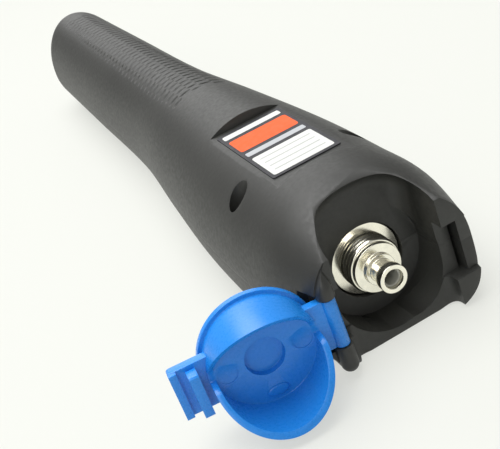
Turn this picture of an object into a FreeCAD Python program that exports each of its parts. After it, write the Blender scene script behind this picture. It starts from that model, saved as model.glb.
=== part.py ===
import FreeCAD, Part
import math
import os
from FreeCAD import Vector

# Hand-held visual fault locator: a battery-powered red laser that is shone into
# an optical fibre through a 2.5 mm ferrule adapter.  Millimetres.
# Frame: origin on the table under the adapter's flange, +X to the right seen
# from the nose, +Y towards the tail, +Z up.  The dust cap is built swung open.

# ---- optical axis and overall form ----
AXIS_Z = 10.5            # height of the adapter's axis above the table
NOSE_Y = -10.1           # cheeks' front ends, ahead of the flange
TAIL_Y = 164.5
HEAD_END = 36.0
NOSE_HALF_WIDTH = 14.0
HEAD_HALF_WIDTH = 16.6
TAIL_HALF_WIDTH = 10.2
HEAD_CROWN = 16.3        # crown of the head above the axis
NOSE_CROWN = 12.4
TAIL_CROWN = 14.2
TAIL_ROUNDING = 8.2
SOLE_DEPTH = 0.15        # shaved off to leave a flat sole on the table
WALL = 1.8
END_WALL = 2.2
FIT = 0.02               # radial clearance of a pressed or screwed joint
FAR = 60.0               # well outside the body
EPS = 0.01

# ---- nose ----
BACK_WALL_Y = -0.8       # face round the adapter
BACK_WALL_THICK = 3.4
TROUGH_RADIUS = 9.3      # round pocket in front of the back wall
TROUGH_FRONT_Y = -7.3    # front edge of the trough's floor
TROUGH_CORNER = 2.0
ARCH_HALF_WIDTH = 9.2
ARCH_START = 9.4         # height where the side walls turn into the arch
ARCH_APEX = 15.0
SCOOP_APEX = 15.5        # height of the scoop's rim over the flange plane
SCOOP_SLOPE = 0.60       # rise of the rim per millimetre towards the tail
SCOOP_FILLET = 3.0
RECESS_CLEAR = 0.25
FOOT_INNER_X = 9.4       # inner faces of the two feet
NOTCH_Y = -7.2           # back face of the notches in the cheeks
LATCH_TOP = 4.6
LATCH_BOTTOM = -5.3
LATCH_SLOT_X = 11.5
LATCH_SLOT_WIDTH = 0.7
LATCH_SLOT_Y = -4.0
LATCH_SKIN_Y = -8.9

# ---- label ----
LABEL_FLOOR = 14.5       # recess floor above the axis
RECESS_FRONT_Y = 7.2
RECESS_BACK_Y = 35.8
RECESS_SKIN = 1.6
RECESS_HALF_WIDTH = 8.6
LABEL_WIDTH = 12.7
LABEL_LENGTH = 24.0
LABEL_FRONT_Y = 10.4
LABEL_THICK = 0.2

# ---- grip ribs on the handle ----
GRIP_FRONT_Y = 58.0
GRIP_COUNT = 38
GRIP_PITCH = 2.45
GRIP_GROOVE = 1.0
GRIP_DEPTH = 0.4
GRIP_FRONT_HALF = 6.0
GRIP_BACK_HALF = 3.6

# ---- case screws ----
SCREW_X = 11.1
SCREW_Y = 16.5
SCREW_HEAD_RADIUS = 1.9
SCREW_HEAD_HEIGHT = 1.3
SCREW_SHANK_RADIUS = 1.0
SCREW_LENGTH = 9.0
SCREW_WELL_CLEAR = 0.2
SCREW_HOLE_CLEAR = 0.15
SCREW_SEAT = 3.2         # height of the head's seat above the axis
SCREW_BOSS_WALL = 1.2
DRIVE_WIDTH = 0.4

# ---- adapter and sleeve ----
FLANGE_RADIUS = 6.0
FLANGE_THICK = 1.4
BARREL_RADIUS = 4.6
BARREL_LENGTH = 3.4
RING_COUNT = 4
RING_DEPTH = 0.25
SHOULDER_RADIUS = 4.1
SHOULDER_LENGTH = 0.8
COLLAR_RADIUS = 2.6
COLLAR_LENGTH = 0.8
NECK_RADIUS = 1.95
TIP_RADIUS = 2.34
TIP_LENGTH = 1.6
NOZZLE_REACH = 8.85      # flange face to the nozzle's mouth
STEM_RADIUS = 3.6
STEM_LENGTH = 6.6
SLEEVE_RADIUS = 1.6      # outside of the ceramic sleeve
FERRULE_RADIUS = 1.25
SLEEVE_LENGTH = 11.4
SLEEVE_SETBACK = 0.8
SLEEVE_CLEAR = 0.03
SLEEVE_SLIT = 0.35

# ---- laser module ----
HOUSING_RADIUS = 6.0
HOUSING_LENGTH = 15.5
HOUSING_GROOVE_WIDTH = 1.0
HOUSING_GROOVE_DEPTH = 0.5
LENS_RADIUS = 2.6
LENS_THICK = 1.6
LENS_CURVE = 5.5
LENS_SHELF = 1.0
LENS_LEDGE = 0.6         # width of the shelf that the lens rests on
RETAINER_THICK = 1.2
RETAINER_HOLE = 1.6
DIODE_FLANGE_RADIUS = 2.8
DIODE_FLANGE_THICK = 1.2
DIODE_CAN_RADIUS = 2.0
DIODE_CAN_LENGTH = 2.3
DIODE_SINK = 3.1         # seat below the housing's rear face
DIODE_PIN_RADIUS = 0.23
DIODE_PIN_OFFSET = 1.27
DIODE_PIN_LENGTH = 5.0

# ---- board ----
BOARD_TOP = 9.0
BOARD_THICK = 1.2
BOARD_HALF_WIDTH = 10.0
BOARD_FRONT_Y = 20.0
BOARD_LENGTH = 18.5
BOARD_SCREWS = [(7.6, 25.0), (-5.0, 34.5)]
BOARD_SCREW_RADIUS = 0.7
BOARD_SCREW_LENGTH = 5.0
BOARD_HEAD_RADIUS = 1.4
BOARD_HEAD_HEIGHT = 0.9
BOARD_HOLE_CLEAR = 0.1
BOARD_BOSS_WALL = 1.2
CHIP_X = -4.0
CHIP_FROM_FRONT = 7.0
CHIP_WIDTH = 3.9
CHIP_LENGTH = 4.9
CHIP_HEIGHT = 1.4
CHIP_STANDOFF = 0.15
LEAD_PITCH = 1.27
LEAD_WIDTH = 0.4
LEAD_REACH = 1.0
LEAD_THICK = 0.2
TRIMMER_X = 4.5
TRIMMER_FROM_BACK = 5.0
TRIMMER_SIZE = 4.5
TRIMMER_HEIGHT = 3.2
TRIMMER_DIAL = 1.5
DIAL_PROUD = 0.4
CAPACITOR_X = 2.5
CAPACITOR_FROM_FRONT = 5.0
CAPACITOR_RADIUS = 2.0
CAPACITOR_HEIGHT = 5.4

# ---- batteries and their contacts ----
BATTERY_RADIUS = 7.2
BATTERY_BODY = 49.5
BATTERY_NUB = 1.0
BATTERY_NUB_RADIUS = 2.75
BATTERY_SHOULDER = 0.6
BATTERY_FRONT_Y = 44.0
BATTERY_Z = 11.0
BATTERY_CLEAR = 0.05
CONTACT_THICK = 0.4
CONTACT_HALF_WIDTH = 4.5
CONTACT_BOTTOM = 4.5
CONTACT_TOP = 17.0
FOOT_HALF_WIDTH = 1.5
FOOT_LAP = 2.5
SPRING_RADIUS = 3.6
SPRING_WIRE = 0.35
SPRING_TURNS = 4
SPRING_STEPS = 16        # straight lengths per turn
SPRING_SIDES = 8
SPRING_LENGTH = 8.0
STRIP_X = -8.0           # inner face of the side strip
STRIP_THICK = 0.3
STRIP_HEIGHT = 3.0
STRIP_LAP = 4.5
STRIP_CLEAR = 0.3
RIB_THICK = 1.4
CRADLES = [54.0, 80.0, 103.0, 138.0]
STRIP_RESTS = [66.0, 121.0]

# ---- battery door ----
DOOR_FRONT_Y = 50.0
DOOR_TOP = 5.4           # height of the door's side edges above the table
DOOR_GAP = 0.15
DOOR_SADDLES = [62.0, 88.0, 112.0, 132.0]
DOOR_HOOKS = [70.0, 94.0, 124.0]
DOOR_TRAVEL = 5.0
HOOK_LENGTH = 4.0
HOOK_THICK = 0.8
HOOK_CLEAR = 0.25
HOOK_TOP = 7.3
HOOK_ROOT = 3.6
NUB_HEIGHT = 1.0
NUB_REACH = 0.7
THUMB_Y = 55.0
THUMB_COUNT = 5
THUMB_PITCH = 2.0
THUMB_HALF_WIDTH = 5.0
THUMB_DEPTH = 0.4

# ---- tail switch ----
SWITCH_BOARD_RADIUS = 7.6
SWITCH_BOARD_THICK = 1.2
SWITCH_SEAT_RADIUS = 6.6
SWITCH_SEAT_THICK = 1.4
SWITCH_HALF = 3.0
SWITCH_DEPTH = 3.2
PLUNGER_RADIUS = 1.7
PLUNGER_SINK = 0.5
PLUNGER_BORE = 1.2
PLUNGER_CLEAR = 0.08
BUTTON_RADIUS = 4.2
BUTTON_FLANGE = 5.4
BUTTON_FLANGE_THICK = 1.6
BUTTON_PROUD = 0.7
BUTTON_CLEAR = 0.2
BUTTON_EDGE = 0.5

# ---- hinge ----
HINGE_X = -11.5
HINGE_Y = -10.5
HINGE_OPEN_ANGLE = 187.0
HINGE_NOTCH = 4.4        # half height between the ears
HINGE_OUTER_NOTCH = 5.2
HINGE_OUTER_X = -12.9
HINGE_OUTER_Y = -6.4
EAR_RADIUS = 1.4
EAR_BOTTOM = 2.6         # height of the lower ear's rounded end
FOOT_ROUNDING = 2.5      # front of the foot under the lower ear
BARREL_HALF = 4.15       # half height of the cap's hinge barrel
HINGE_BARREL_RADIUS = 1.15
PIN_RADIUS = 0.5
PIN_CLEAR = 0.06
PIN_HALF = 6.4

# ---- dust cap, sizes along Y counted from the hinge axis ----
CUP_RADIUS = 8.8
CUP_WALL = 0.9
CUP_LIP_RADIUS = 9.45
CUP_LIP_THICK = 1.0
CUP_FRONT = -3.2         # lip's front face
CUP_FLOOR = 0.4          # inner face of the front wall
CUP_FLOOR_THICK = 2.0
CUP_BACK = 9.0
HOOD_START = 1.65        # height where the hood leaves the front wall
HOOD_SLOPE = 0.85
BOWL_START = 3.3
BOWL_SLOPE = 0.67
SWING_CLEAR = 0.3        # round the cap as it swings shut
POCKET_RADIUS = 3.1
POCKET_DEPTH = 1.2
MARK_RADIUS = 1.6
MARK_OFFSET = 6.0
MARK_DEPTH = 0.15
STRAP_FRONT = -1.1
TAB_REACH = 25.4         # hinge axis to the tab's free edge
TAB_ROOT = 18.6
TAB_HALF_HEIGHT = 4.1
TAB_THICK = 1.5
SNAP_START = 21.4
SNAP_WIDTH = 1.5
SNAP_REACH = 2.5
SNAP_TOP = 3.5
EDGE_WIDTH = 1.2
EDGE_REACH = 0.8

# ---- places that follow from the sizes above ----
WALL_REAR_Y = BACK_WALL_Y + BACK_WALL_THICK
HOUSING_REAR_Y = WALL_REAR_Y + HOUSING_LENGTH
STEM_REAR_Y = FLANGE_THICK + STEM_LENGTH
LENS_FRONT_Y = STEM_REAR_Y + LENS_SHELF
DIODE_SEAT_Y = HOUSING_REAR_Y - DIODE_SINK
SLEEVE_FRONT_Y = -NOZZLE_REACH + SLEEVE_SETBACK
SLEEVE_REAR_Y = SLEEVE_FRONT_Y + SLEEVE_LENGTH
BOARD_BACK_Y = BOARD_FRONT_Y + BOARD_LENGTH
BATTERY_LENGTH = BATTERY_BODY + BATTERY_NUB
BATTERY_REAR_Y = BATTERY_FRONT_Y + 2 * BATTERY_LENGTH
SWITCH_BOARD_Y = BATTERY_REAR_Y + SPRING_LENGTH
SWITCH_Y = SWITCH_BOARD_Y + SWITCH_BOARD_THICK
SWITCH_REAR_Y = SWITCH_Y + SWITCH_DEPTH
BUTTON_SEAT_Y = TAIL_Y - END_WALL
BUTTON_FLANGE_Y = BUTTON_SEAT_Y - BATTERY_CLEAR
SCREW_SEAT_Z = AXIS_Z + SCREW_SEAT
WELL_RADIUS = SCREW_HEAD_RADIUS + SCREW_WELL_CLEAR
BOSS_RADIUS = WELL_RADIUS + SCREW_BOSS_WALL
LABEL_Z = AXIS_Z + LABEL_FLOOR


def frustum_along_y(r1, r2, y1, y2, x=0.0, z=AXIS_Z):
    """Cone or cylinder on an axis parallel to Y, from y1 to y2."""
    if abs(r1 - r2) < 1e-6:
        return Part.makeCylinder(r1, y2 - y1, Vector(x, y1, z), Vector(0, 1, 0))
    return Part.makeCone(r1, r2, y2 - y1, Vector(x, y1, z), Vector(0, 1, 0))


def rod(radius, y1, y2, x=0.0, z=AXIS_Z):
    return frustum_along_y(radius, radius, y1, y2, x, z)


def post(radius, z1, z2, x, y):
    return Part.makeCylinder(radius, z2 - z1, Vector(x, y, z1))


def box(x1, x2, y1, y2, z1, z2):
    return Part.makeBox(x2 - x1, y2 - y1, z2 - z1, Vector(x1, y1, z1))


def prism_along_x(corners, half_width):
    """Solid of the given (y, z) corners, half_width to either side."""
    points = [Vector(-half_width, y, z) for y, z in corners]
    points.append(points[0])
    face = Part.Face(Part.makePolygon(points))
    return face.extrude(Vector(2 * half_width, 0, 0))


def turned(profile, z=AXIS_Z):
    """Solid of revolution about the optical axis from (y, radius) corners."""
    points = [Vector(0, y, z + r) for y, r in profile]
    points.append(points[0])
    face = Part.Face(Part.makePolygon(points))
    return face.revolve(Vector(0, 0, z), Vector(0, 1, 0), 360)


def end_edges(solid, y):
    """Edges that lie wholly in the cross plane at y."""
    found = []
    for edge in solid.Edges:
        bounds = edge.BoundBox
        if abs(bounds.YMin - y) < EPS and abs(bounds.YMax - y) < EPS:
            found.append(edge)
    return found


def blend(start, end, share):
    return start + (end - start) * share


# One row per station: place along the body, half width, crown above the axis,
# and how square the section is above and below the axis.
def body_stations():
    head_w = HEAD_HALF_WIDTH
    handle = TAIL_Y - HEAD_END
    nose_w = NOSE_HALF_WIDTH
    return [
        (NOSE_Y, nose_w, NOSE_CROWN, 2.35, 3.7),
        (0.0, blend(nose_w, head_w, 0.81), blend(NOSE_CROWN, HEAD_CROWN, 0.79), 2.2, 3.5),
        (11.0, head_w, blend(NOSE_CROWN, HEAD_CROWN, 0.90), 2.05, 3.4),
        (24.0, blend(head_w, TAIL_HALF_WIDTH, 0.01), HEAD_CROWN, 1.98, 3.2),
        (HEAD_END, blend(head_w, TAIL_HALF_WIDTH, 0.10), HEAD_CROWN, 1.95, 3.0),
        (HEAD_END + 0.15 * handle, blend(head_w, TAIL_HALF_WIDTH, 0.38), blend(HEAD_CROWN, TAIL_CROWN, 0.15), 1.95, 2.7),
        (HEAD_END + 0.35 * handle, blend(head_w, TAIL_HALF_WIDTH, 0.78), blend(HEAD_CROWN, TAIL_CROWN, 0.62), 2.0, 2.4),
        (HEAD_END + 0.65 * handle, blend(head_w, TAIL_HALF_WIDTH, 0.88), blend(HEAD_CROWN, TAIL_CROWN, 0.84), 2.0, 2.2),
        (TAIL_Y, TAIL_HALF_WIDTH, TAIL_CROWN, 2.0, 2.05),
    ]


def slope(rows, i, column):
    """Growth per millimetre at a station, from its neighbours."""
    before = rows[max(i - 1, 0)]
    after = rows[min(i + 1, len(rows) - 1)]
    return (after[column] - before[column]) / (after[0] - before[0])


def form_at(y):
    """Half width, crown and the two powers at any place along the body."""
    rows = body_stations()
    i = 0
    while i < len(rows) - 2 and y > rows[i + 1][0]:
        i += 1
    gap = rows[i + 1][0] - rows[i][0]
    t = (y - rows[i][0]) / gap
    values = []
    for column in range(1, 5):
        start = rows[i][column]
        end = rows[i + 1][column]
        out_slope = slope(rows, i, column) * gap
        in_slope = slope(rows, i + 1, column) * gap
        bend = 3 * (end - start) - 2 * out_slope - in_slope
        twist = 2 * (start - end) + out_slope + in_slope
        values.append(start + out_slope * t + bend * t ** 2 + twist * t ** 3)
    return values


def half_section(y, half_width, rise, power, side):
    """Superellipse curve above (side +1) or below (side -1) the axis."""
    points = []
    count = 16
    for i in range(count + 1):
        turn = math.pi * i / count
        c = math.cos(turn)
        s = math.sin(turn)
        reach = (abs(c) / half_width) ** power + (abs(s) / rise) ** power
        radius = reach ** (-1 / power)
        points.append(Vector(side * radius * c, y, AXIS_Z + side * radius * s))
    curve = Part.BSplineCurve()
    up = Vector(0, 0, side)
    curve.interpolate(Points=points, InitialTangent=up, FinalTangent=up * -1)
    return curve.toShape()


def section(y, inset):
    half_width, crown, upper, lower = form_at(y)
    top = half_section(y, half_width - inset, crown - inset, upper, 1)
    depth = AXIS_Z + SOLE_DEPTH - inset
    bottom = half_section(y, half_width - inset, depth, lower, -1)
    return Part.Wire([top, bottom])


def lofted(places):
    """Solid through the sections at the given (place, inset) pairs."""
    wires = [section(y, inset) for y, inset in places]
    return Part.makeLoft(wires, True, False)


def body_form(inset=0.0, end_inset=0.0):
    """Body drawn in by inset all round, its tail rounded over."""
    rounding = TAIL_ROUNDING - inset
    dome_y = TAIL_Y - TAIL_ROUNDING - end_inset + inset
    steps = 17
    places = []
    for i in range(steps + 1):
        places.append((blend(NOSE_Y, dome_y, i / steps), inset))
    main = lofted(places)
    places = []
    steps = 6
    for i in range(steps + 1):
        turn = math.pi / 2 * i / steps
        y = dome_y + rounding * math.sin(turn)
        places.append((y, inset + rounding * (1 - math.cos(turn))))
    return main.fuse(lofted(places))


def above(z):
    return box(-FAR, FAR, -FAR, 4 * FAR, z, FAR)


def below(z):
    return box(-FAR, FAR, -FAR, 4 * FAR, -FAR, z)


def outer_form():
    return body_form().common(above(0))


def inner_form():
    room = box(-FAR, FAR, WALL_REAR_Y, 4 * FAR, -FAR, FAR)
    pan = box(-RECESS_HALF_WIDTH, RECESS_HALF_WIDTH, RECESS_FRONT_Y - RECESS_SKIN,
              RECESS_BACK_Y + RECESS_SKIN, LABEL_Z - RECESS_SKIN, FAR)
    return body_form(WALL, END_WALL).common(room).cut(pan)


def trough():
    """Open space round the nozzle: a round pocket, and an arched hood over it."""
    y = NOSE_Y - 2
    half = ARCH_HALF_WIDTH
    spring_z = AXIS_Z + ARCH_START
    left = Vector(-half, y, AXIS_Z)
    right = Vector(half, y, AXIS_Z)
    centre = Vector(0, y, spring_z)
    across = Vector(half, y, spring_z)
    apex = Vector(0, y, AXIS_Z + ARCH_APEX)
    arch = Part.Arc(Part.Ellipse(across, apex, centre), 0, math.pi).toShape()
    springing = Vector(-half, y, spring_z)
    sides = [Part.makeLine(right, across), Part.makeLine(springing, left)]
    base = Part.makeLine(left, right)
    wire = Part.Wire(Part.__sortEdges__([base, sides[0], arch, sides[1]]))
    hood = Part.Face(wire).extrude(Vector(0, BACK_WALL_Y - y, 0))
    rounded = []
    for edge in end_edges(hood, BACK_WALL_Y):
        if edge.BoundBox.ZMax > AXIS_Z + EPS:
            rounded.append(edge)
    return hood.makeFillet(SCOOP_FILLET, rounded).fuse(rod(TROUGH_RADIUS, y, BACK_WALL_Y))


def swing_relief():
    """Space swept by the cap's bowl on its way to the shut place."""
    radius = CUP_RADIUS + SWING_CLEAR
    rim = BOWL_START + SWING_CLEAR
    points = []
    count = 10
    for i in range(count + 1):
        turn = math.pi / 2 * i / count
        drop = radius * math.sin(turn)
        reach = math.hypot(radius * math.cos(turn) - HINGE_X, rim + BOWL_SLOPE * drop)
        points.append(Vector(HINGE_X + reach, HINGE_Y, AXIS_Z - drop))
    curve = Part.BSplineCurve()
    curve.interpolate(points)
    low = Vector(0, HINGE_Y, AXIS_Z - radius)
    high = Vector(0, HINGE_Y, AXIS_Z)
    sides = [Part.makeLine(points[-1], low), Part.makeLine(low, high),
             Part.makeLine(high, points[0])]
    face = Part.Face(Part.Wire([curve.toShape()] + sides))
    sweep = face.revolve(Vector(HINGE_X, HINGE_Y, 0), Vector(0, 0, 1), 60)
    deep = 12.0
    reached = prism_along_x([(HINGE_Y - 1, AXIS_Z - deep), (HINGE_Y - 1, AXIS_Z + 1),
                             (HINGE_Y + rim - BOWL_SLOPE, AXIS_Z + 1),
                             (HINGE_Y + rim + BOWL_SLOPE * deep, AXIS_Z - deep)], FAR)
    return sweep.common(reached)


def scoop():
    """Everything above the sloping rim of the nose."""
    front = NOSE_Y - 5
    back = -NOSE_Y
    base = AXIS_Z + SCOOP_APEX
    return prism_along_x([(front, base + SCOOP_SLOPE * front),
                          (back, base + SCOOP_SLOPE * back),
                          (back, FAR), (front, FAR)], FAR)


def floor_cut():
    """Space between the two feet, in front of the trough's floor."""
    x = FOOT_INNER_X
    solid = box(-x, x, NOSE_Y - 5, TROUGH_FRONT_Y, -1, AXIS_Z)
    corners = []
    for edge in solid.Edges:
        bounds = edge.BoundBox
        if bounds.YMin > TROUGH_FRONT_Y - EPS and bounds.ZMax - bounds.ZMin > 2:
            corners.append(edge)
    return solid.makeFillet(TROUGH_CORNER, corners)


def latch_notch():
    low = AXIS_Z + LATCH_BOTTOM
    high = AXIS_Z + LATCH_TOP
    slot_end = LATCH_SLOT_X + LATCH_SLOT_WIDTH
    front = NOSE_Y - 5
    notch = box(TROUGH_RADIUS - 1, slot_end, front, NOTCH_Y, low, high)
    slot = box(LATCH_SLOT_X, slot_end, front, LATCH_SLOT_Y, low, high)
    skin = box(LATCH_SLOT_X, FAR, front, LATCH_SKIN_Y, low, high)
    return notch.fuse(slot).fuse(skin)


def hinge_notch():
    front = NOSE_Y - 5
    inner = box(-FAR, 1 - TROUGH_RADIUS, front, NOTCH_Y,
                AXIS_Z - HINGE_NOTCH, AXIS_Z + HINGE_NOTCH)
    outer = box(-FAR, HINGE_OUTER_X, front, HINGE_OUTER_Y,
                AXIS_Z - HINGE_OUTER_NOTCH, AXIS_Z + HINGE_OUTER_NOTCH)
    return inner.fuse(outer)


def knuckle(z1, z2):
    """Round column about the hinge axis, joined to the cheek behind it."""
    root = box(HINGE_X - EAR_RADIUS, HINGE_X + EAR_RADIUS, HINGE_Y, NOTCH_Y, z1, z2)
    return post(EAR_RADIUS, z1, z2, HINGE_X, HINGE_Y).fuse(root)


def upper_ear():
    """Hinge ear that runs up to the rim of the scoop."""
    return knuckle(AXIS_Z + HINGE_NOTCH, AXIS_Z + ARCH_APEX).cut(scoop())


def lower_ear():
    """Hinge ear with a round end above the foot."""
    tip = Part.makeSphere(EAR_RADIUS, Vector(HINGE_X, HINGE_Y, EAR_BOTTOM))
    return knuckle(EAR_BOTTOM, AXIS_Z - HINGE_NOTCH).fuse(tip)


def foot_front():
    """Square corner taken off the front of the foot under the lower ear."""
    centre_y = NOSE_Y + FOOT_ROUNDING
    corner = box(-FAR, -TROUGH_RADIUS, NOSE_Y - 1, centre_y, -1, FOOT_ROUNDING)
    bar = Part.makeCylinder(FOOT_ROUNDING, 2 * FAR, Vector(-FAR, centre_y, FOOT_ROUNDING),
                            Vector(1, 0, 0))
    return corner.cut(bar)


def nose_openings():
    cuts = [trough(), scoop(), floor_cut(), latch_notch(), hinge_notch()]
    cuts += [swing_relief(), foot_front()]
    recess = FLANGE_RADIUS + RECESS_CLEAR
    cuts.append(rod(recess, BACK_WALL_Y - 1, FLANGE_THICK))
    cuts.append(rod(STEM_RADIUS + FIT, 0, WALL_REAR_Y + 1))
    return cuts


def cradle(y, radius, z=AXIS_Z, thick=RIB_THICK):
    """Cross rib round a cylinder; trimmed to the shell by the caller."""
    return box(-FAR, FAR, y, y + thick, -FAR, FAR).cut(rod(radius, y - 1, y + thick + 1, 0, z))


def strip_channel():
    """Passage for the side strip through every rib in its way."""
    x1 = STRIP_X - STRIP_THICK - STRIP_CLEAR
    z1 = BOARD_TOP - STRIP_CLEAR
    z2 = BOARD_TOP + STRIP_HEIGHT + STRIP_CLEAR
    run = box(x1, STRIP_X + STRIP_CLEAR, BOARD_BACK_Y - STRIP_LAP, SWITCH_BOARD_Y, z1, z2)
    foot = box(x1, STRIP_X + STRIP_CLEAR + FOOT_LAP, SWITCH_BOARD_Y - 1, SWITCH_BOARD_Y, z1, z2)
    return run.fuse(foot)


def ribs():
    """All cross ribs inside the shells, before the shells trim them."""
    saddle = HOUSING_RADIUS + FIT
    parts = [cradle(WALL_REAR_Y + 2, saddle), cradle(HOUSING_REAR_Y - 4, saddle)]
    for y in CRADLES:
        parts.append(cradle(y, BATTERY_RADIUS + BATTERY_CLEAR, BATTERY_Z))
    seat_y = SWITCH_BOARD_Y - SWITCH_SEAT_THICK
    seat = cradle(seat_y, SWITCH_SEAT_RADIUS, BATTERY_Z, SWITCH_BOARD_THICK + 2 * SWITCH_SEAT_THICK)
    groove = rod(SWITCH_BOARD_RADIUS + FIT, SWITCH_BOARD_Y, SWITCH_Y, 0, BATTERY_Z)
    parts.append(seat.cut(groove))
    return parts


def case_boss(z1, z2):
    return [post(BOSS_RADIUS, z1, z2, side * SCREW_X, SCREW_Y) for side in (-1, 1)]


def grip_grooves():
    """Shallow cross grooves on top of the handle, narrower towards the tail."""
    bars = []
    for i in range(GRIP_COUNT):
        y = GRIP_FRONT_Y + i * GRIP_PITCH
        half = blend(GRIP_FRONT_HALF, GRIP_BACK_HALF, i / (GRIP_COUNT - 1))
        half_width, crown, upper, lower = form_at(y)
        bend = half_width ** 2 / crown
        centre_z = AXIS_Z + crown - GRIP_DEPTH - bend
        bar = box(-half, half, y, y + GRIP_GROOVE, centre_z, FAR)
        bars.append(bar.cut(rod(bend, y - 1, y + GRIP_GROOVE + 1, 0, centre_z)))
    return bars


def framing(inner):
    """The shells' cross ribs, trimmed to the room inside."""
    return Part.makeCompound(ribs()).common(inner)


def upper_shell(outer, inner, frames):
    half = above(AXIS_Z)
    bosses = Part.makeCompound(case_boss(AXIS_Z, FAR)).common(outer)
    inside = frames.common(half).Solids + bosses.Solids
    shell = outer.cut(inner).common(half).fuse(inside)
    cuts = nose_openings()
    cuts.append(box(-FAR, FAR, RECESS_FRONT_Y, RECESS_BACK_Y, LABEL_Z, FAR))
    for side in (-1, 1):
        cuts.append(post(WELL_RADIUS, SCREW_SEAT_Z, FAR, side * SCREW_X, SCREW_Y))
        hole = SCREW_SHANK_RADIUS + SCREW_HOLE_CLEAR
        cuts.append(post(hole, 0, FAR, side * SCREW_X, SCREW_Y))
    cuts += tail_openings() + grip_grooves()
    cuts.append(strip_channel())
    shell = shell.cut(cuts).fuse(upper_ear())
    return shell.cut(pin_hole())


def pin_hole():
    return post(PIN_RADIUS + FIT, AXIS_Z - PIN_HALF, AXIS_Z + PIN_HALF, HINGE_X, HINGE_Y)


def tail_openings():
    seat = rod(BUTTON_FLANGE + BUTTON_CLEAR, SWITCH_REAR_Y, BUTTON_SEAT_Y, 0, BATTERY_Z)
    hole = rod(BUTTON_RADIUS + BUTTON_CLEAR, SWITCH_REAR_Y, TAIL_Y + 2, 0, BATTERY_Z)
    return [seat, hole]


def inner_wall_x(y, z):
    """Distance from the middle plane to the lower shell's inner face."""
    half_width, crown, upper, lower = form_at(y)
    share = (AXIS_Z - z) / (AXIS_Z + SOLE_DEPTH - WALL)
    return (half_width - WALL) * (1 - share ** lower) ** (1 / lower)


def hook_face(y):
    """Outer face of a door hook: inside the wall at the end of its travel."""
    return inner_wall_x(y + HOOK_LENGTH + DOOR_TRAVEL, DOOR_TOP) - HOOK_CLEAR


def nub_face(y):
    """Outer face of a hook's nub, inside its pocket in the wall."""
    return inner_wall_x(y + HOOK_LENGTH, HOOK_TOP - NUB_HEIGHT) + NUB_REACH


def hook_slots():
    """L-shaped pockets in the lower shell for the door's hooks."""
    parts = []
    for y in DOOR_HOOKS:
        x1 = hook_face(y) - HOOK_THICK
        x2 = nub_face(y) + HOOK_CLEAR
        low = HOOK_TOP - NUB_HEIGHT - HOOK_CLEAR
        high = HOOK_TOP + HOOK_CLEAR
        end = y + HOOK_LENGTH + DOOR_TRAVEL + HOOK_CLEAR
        run = box(x1, x2, y - HOOK_CLEAR, end, low, high)
        entry = box(x1, x2, y + DOOR_TRAVEL - HOOK_CLEAR, end, DOOR_TOP - 1, high)
        slot = run.fuse(entry)
        parts.append(slot)
        parts.append(slot.mirror(Vector(0, 0, 0), Vector(1, 0, 0)))
    return parts


def lower_shell(outer, inner, frames):
    half = below(AXIS_Z)
    posts = case_boss(-FAR, AXIS_Z)
    boss = BOARD_SCREW_RADIUS + BOARD_BOSS_WALL
    for x, y in BOARD_SCREWS:
        posts.append(post(boss, 0, BOARD_TOP - BOARD_THICK, x, y))
    front = BATTERY_FRONT_Y - CONTACT_THICK
    bulkhead = box(-FAR, FAR, front - RIB_THICK, front, -FAR, BOARD_TOP - CONTACT_THICK)
    posts.append(bulkhead)
    rest_x = STRIP_X - STRIP_THICK
    for y in STRIP_RESTS:
        posts.append(box(-FAR, rest_x, y, y + RIB_THICK, BOARD_TOP, AXIS_Z))
    inside = frames.common(half).Solids
    inside += Part.makeCompound(posts).common(inner).Solids
    shell = outer.cut(inner).common(half).fuse(inside)
    cuts = nose_openings()
    for side in (-1, 1):
        depth = SCREW_SEAT_Z - SCREW_LENGTH - RECESS_CLEAR
        cuts.append(post(SCREW_SHANK_RADIUS + FIT, depth, FAR, side * SCREW_X, SCREW_Y))
    for x, y in BOARD_SCREWS:
        depth = BOARD_TOP - BOARD_SCREW_LENGTH - RECESS_CLEAR
        cuts.append(post(BOARD_SCREW_RADIUS + FIT, depth, FAR, x, y))
    cuts += tail_openings() + hook_slots()
    cuts.append(box(-FAR, FAR, DOOR_FRONT_Y, 4 * FAR, -FAR, DOOR_TOP))
    shell = shell.cut(cuts)
    channel = strip_channel()
    for y in STRIP_RESTS:
        channel = channel.cut(box(-FAR, rest_x, y, y + RIB_THICK, 0, AXIS_Z))
    shell = shell.cut(channel).fuse(lower_ear())
    return shell.cut(pin_hole())


def battery_door(outer, inner):
    room = box(-FAR, FAR, DOOR_FRONT_Y + DOOR_GAP, 4 * FAR, -FAR, DOOR_TOP - DOOR_GAP)
    door = outer.cut(inner).common(room)
    inside = []
    for y in DOOR_SADDLES:
        rib = cradle(y, BATTERY_RADIUS + BATTERY_CLEAR, BATTERY_Z)
        inside.append(rib.common(inner).common(room))
    for y in DOOR_HOOKS:
        x = hook_face(y)
        stem = box(x - HOOK_THICK, x, y, y + HOOK_LENGTH, HOOK_ROOT, HOOK_TOP)
        nub = box(x - HOOK_THICK, nub_face(y), y, y + HOOK_LENGTH, HOOK_TOP - NUB_HEIGHT, HOOK_TOP)
        root = box(x - HOOK_THICK, x + 2, y, y + HOOK_LENGTH, HOOK_ROOT - 1, DOOR_TOP - DOOR_GAP)
        hook = stem.fuse(nub).fuse(root.common(outer))
        inside.append(hook)
        inside.append(hook.mirror(Vector(0, 0, 0), Vector(1, 0, 0)))
    cuts = []
    for i in range(THUMB_COUNT):
        y = THUMB_Y + i * THUMB_PITCH
        cuts.append(box(-THUMB_HALF_WIDTH, THUMB_HALF_WIDTH, y, y + THUMB_PITCH / 2,
                        -1, THUMB_DEPTH))
    return door.fuse(inside).cut(cuts)


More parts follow.
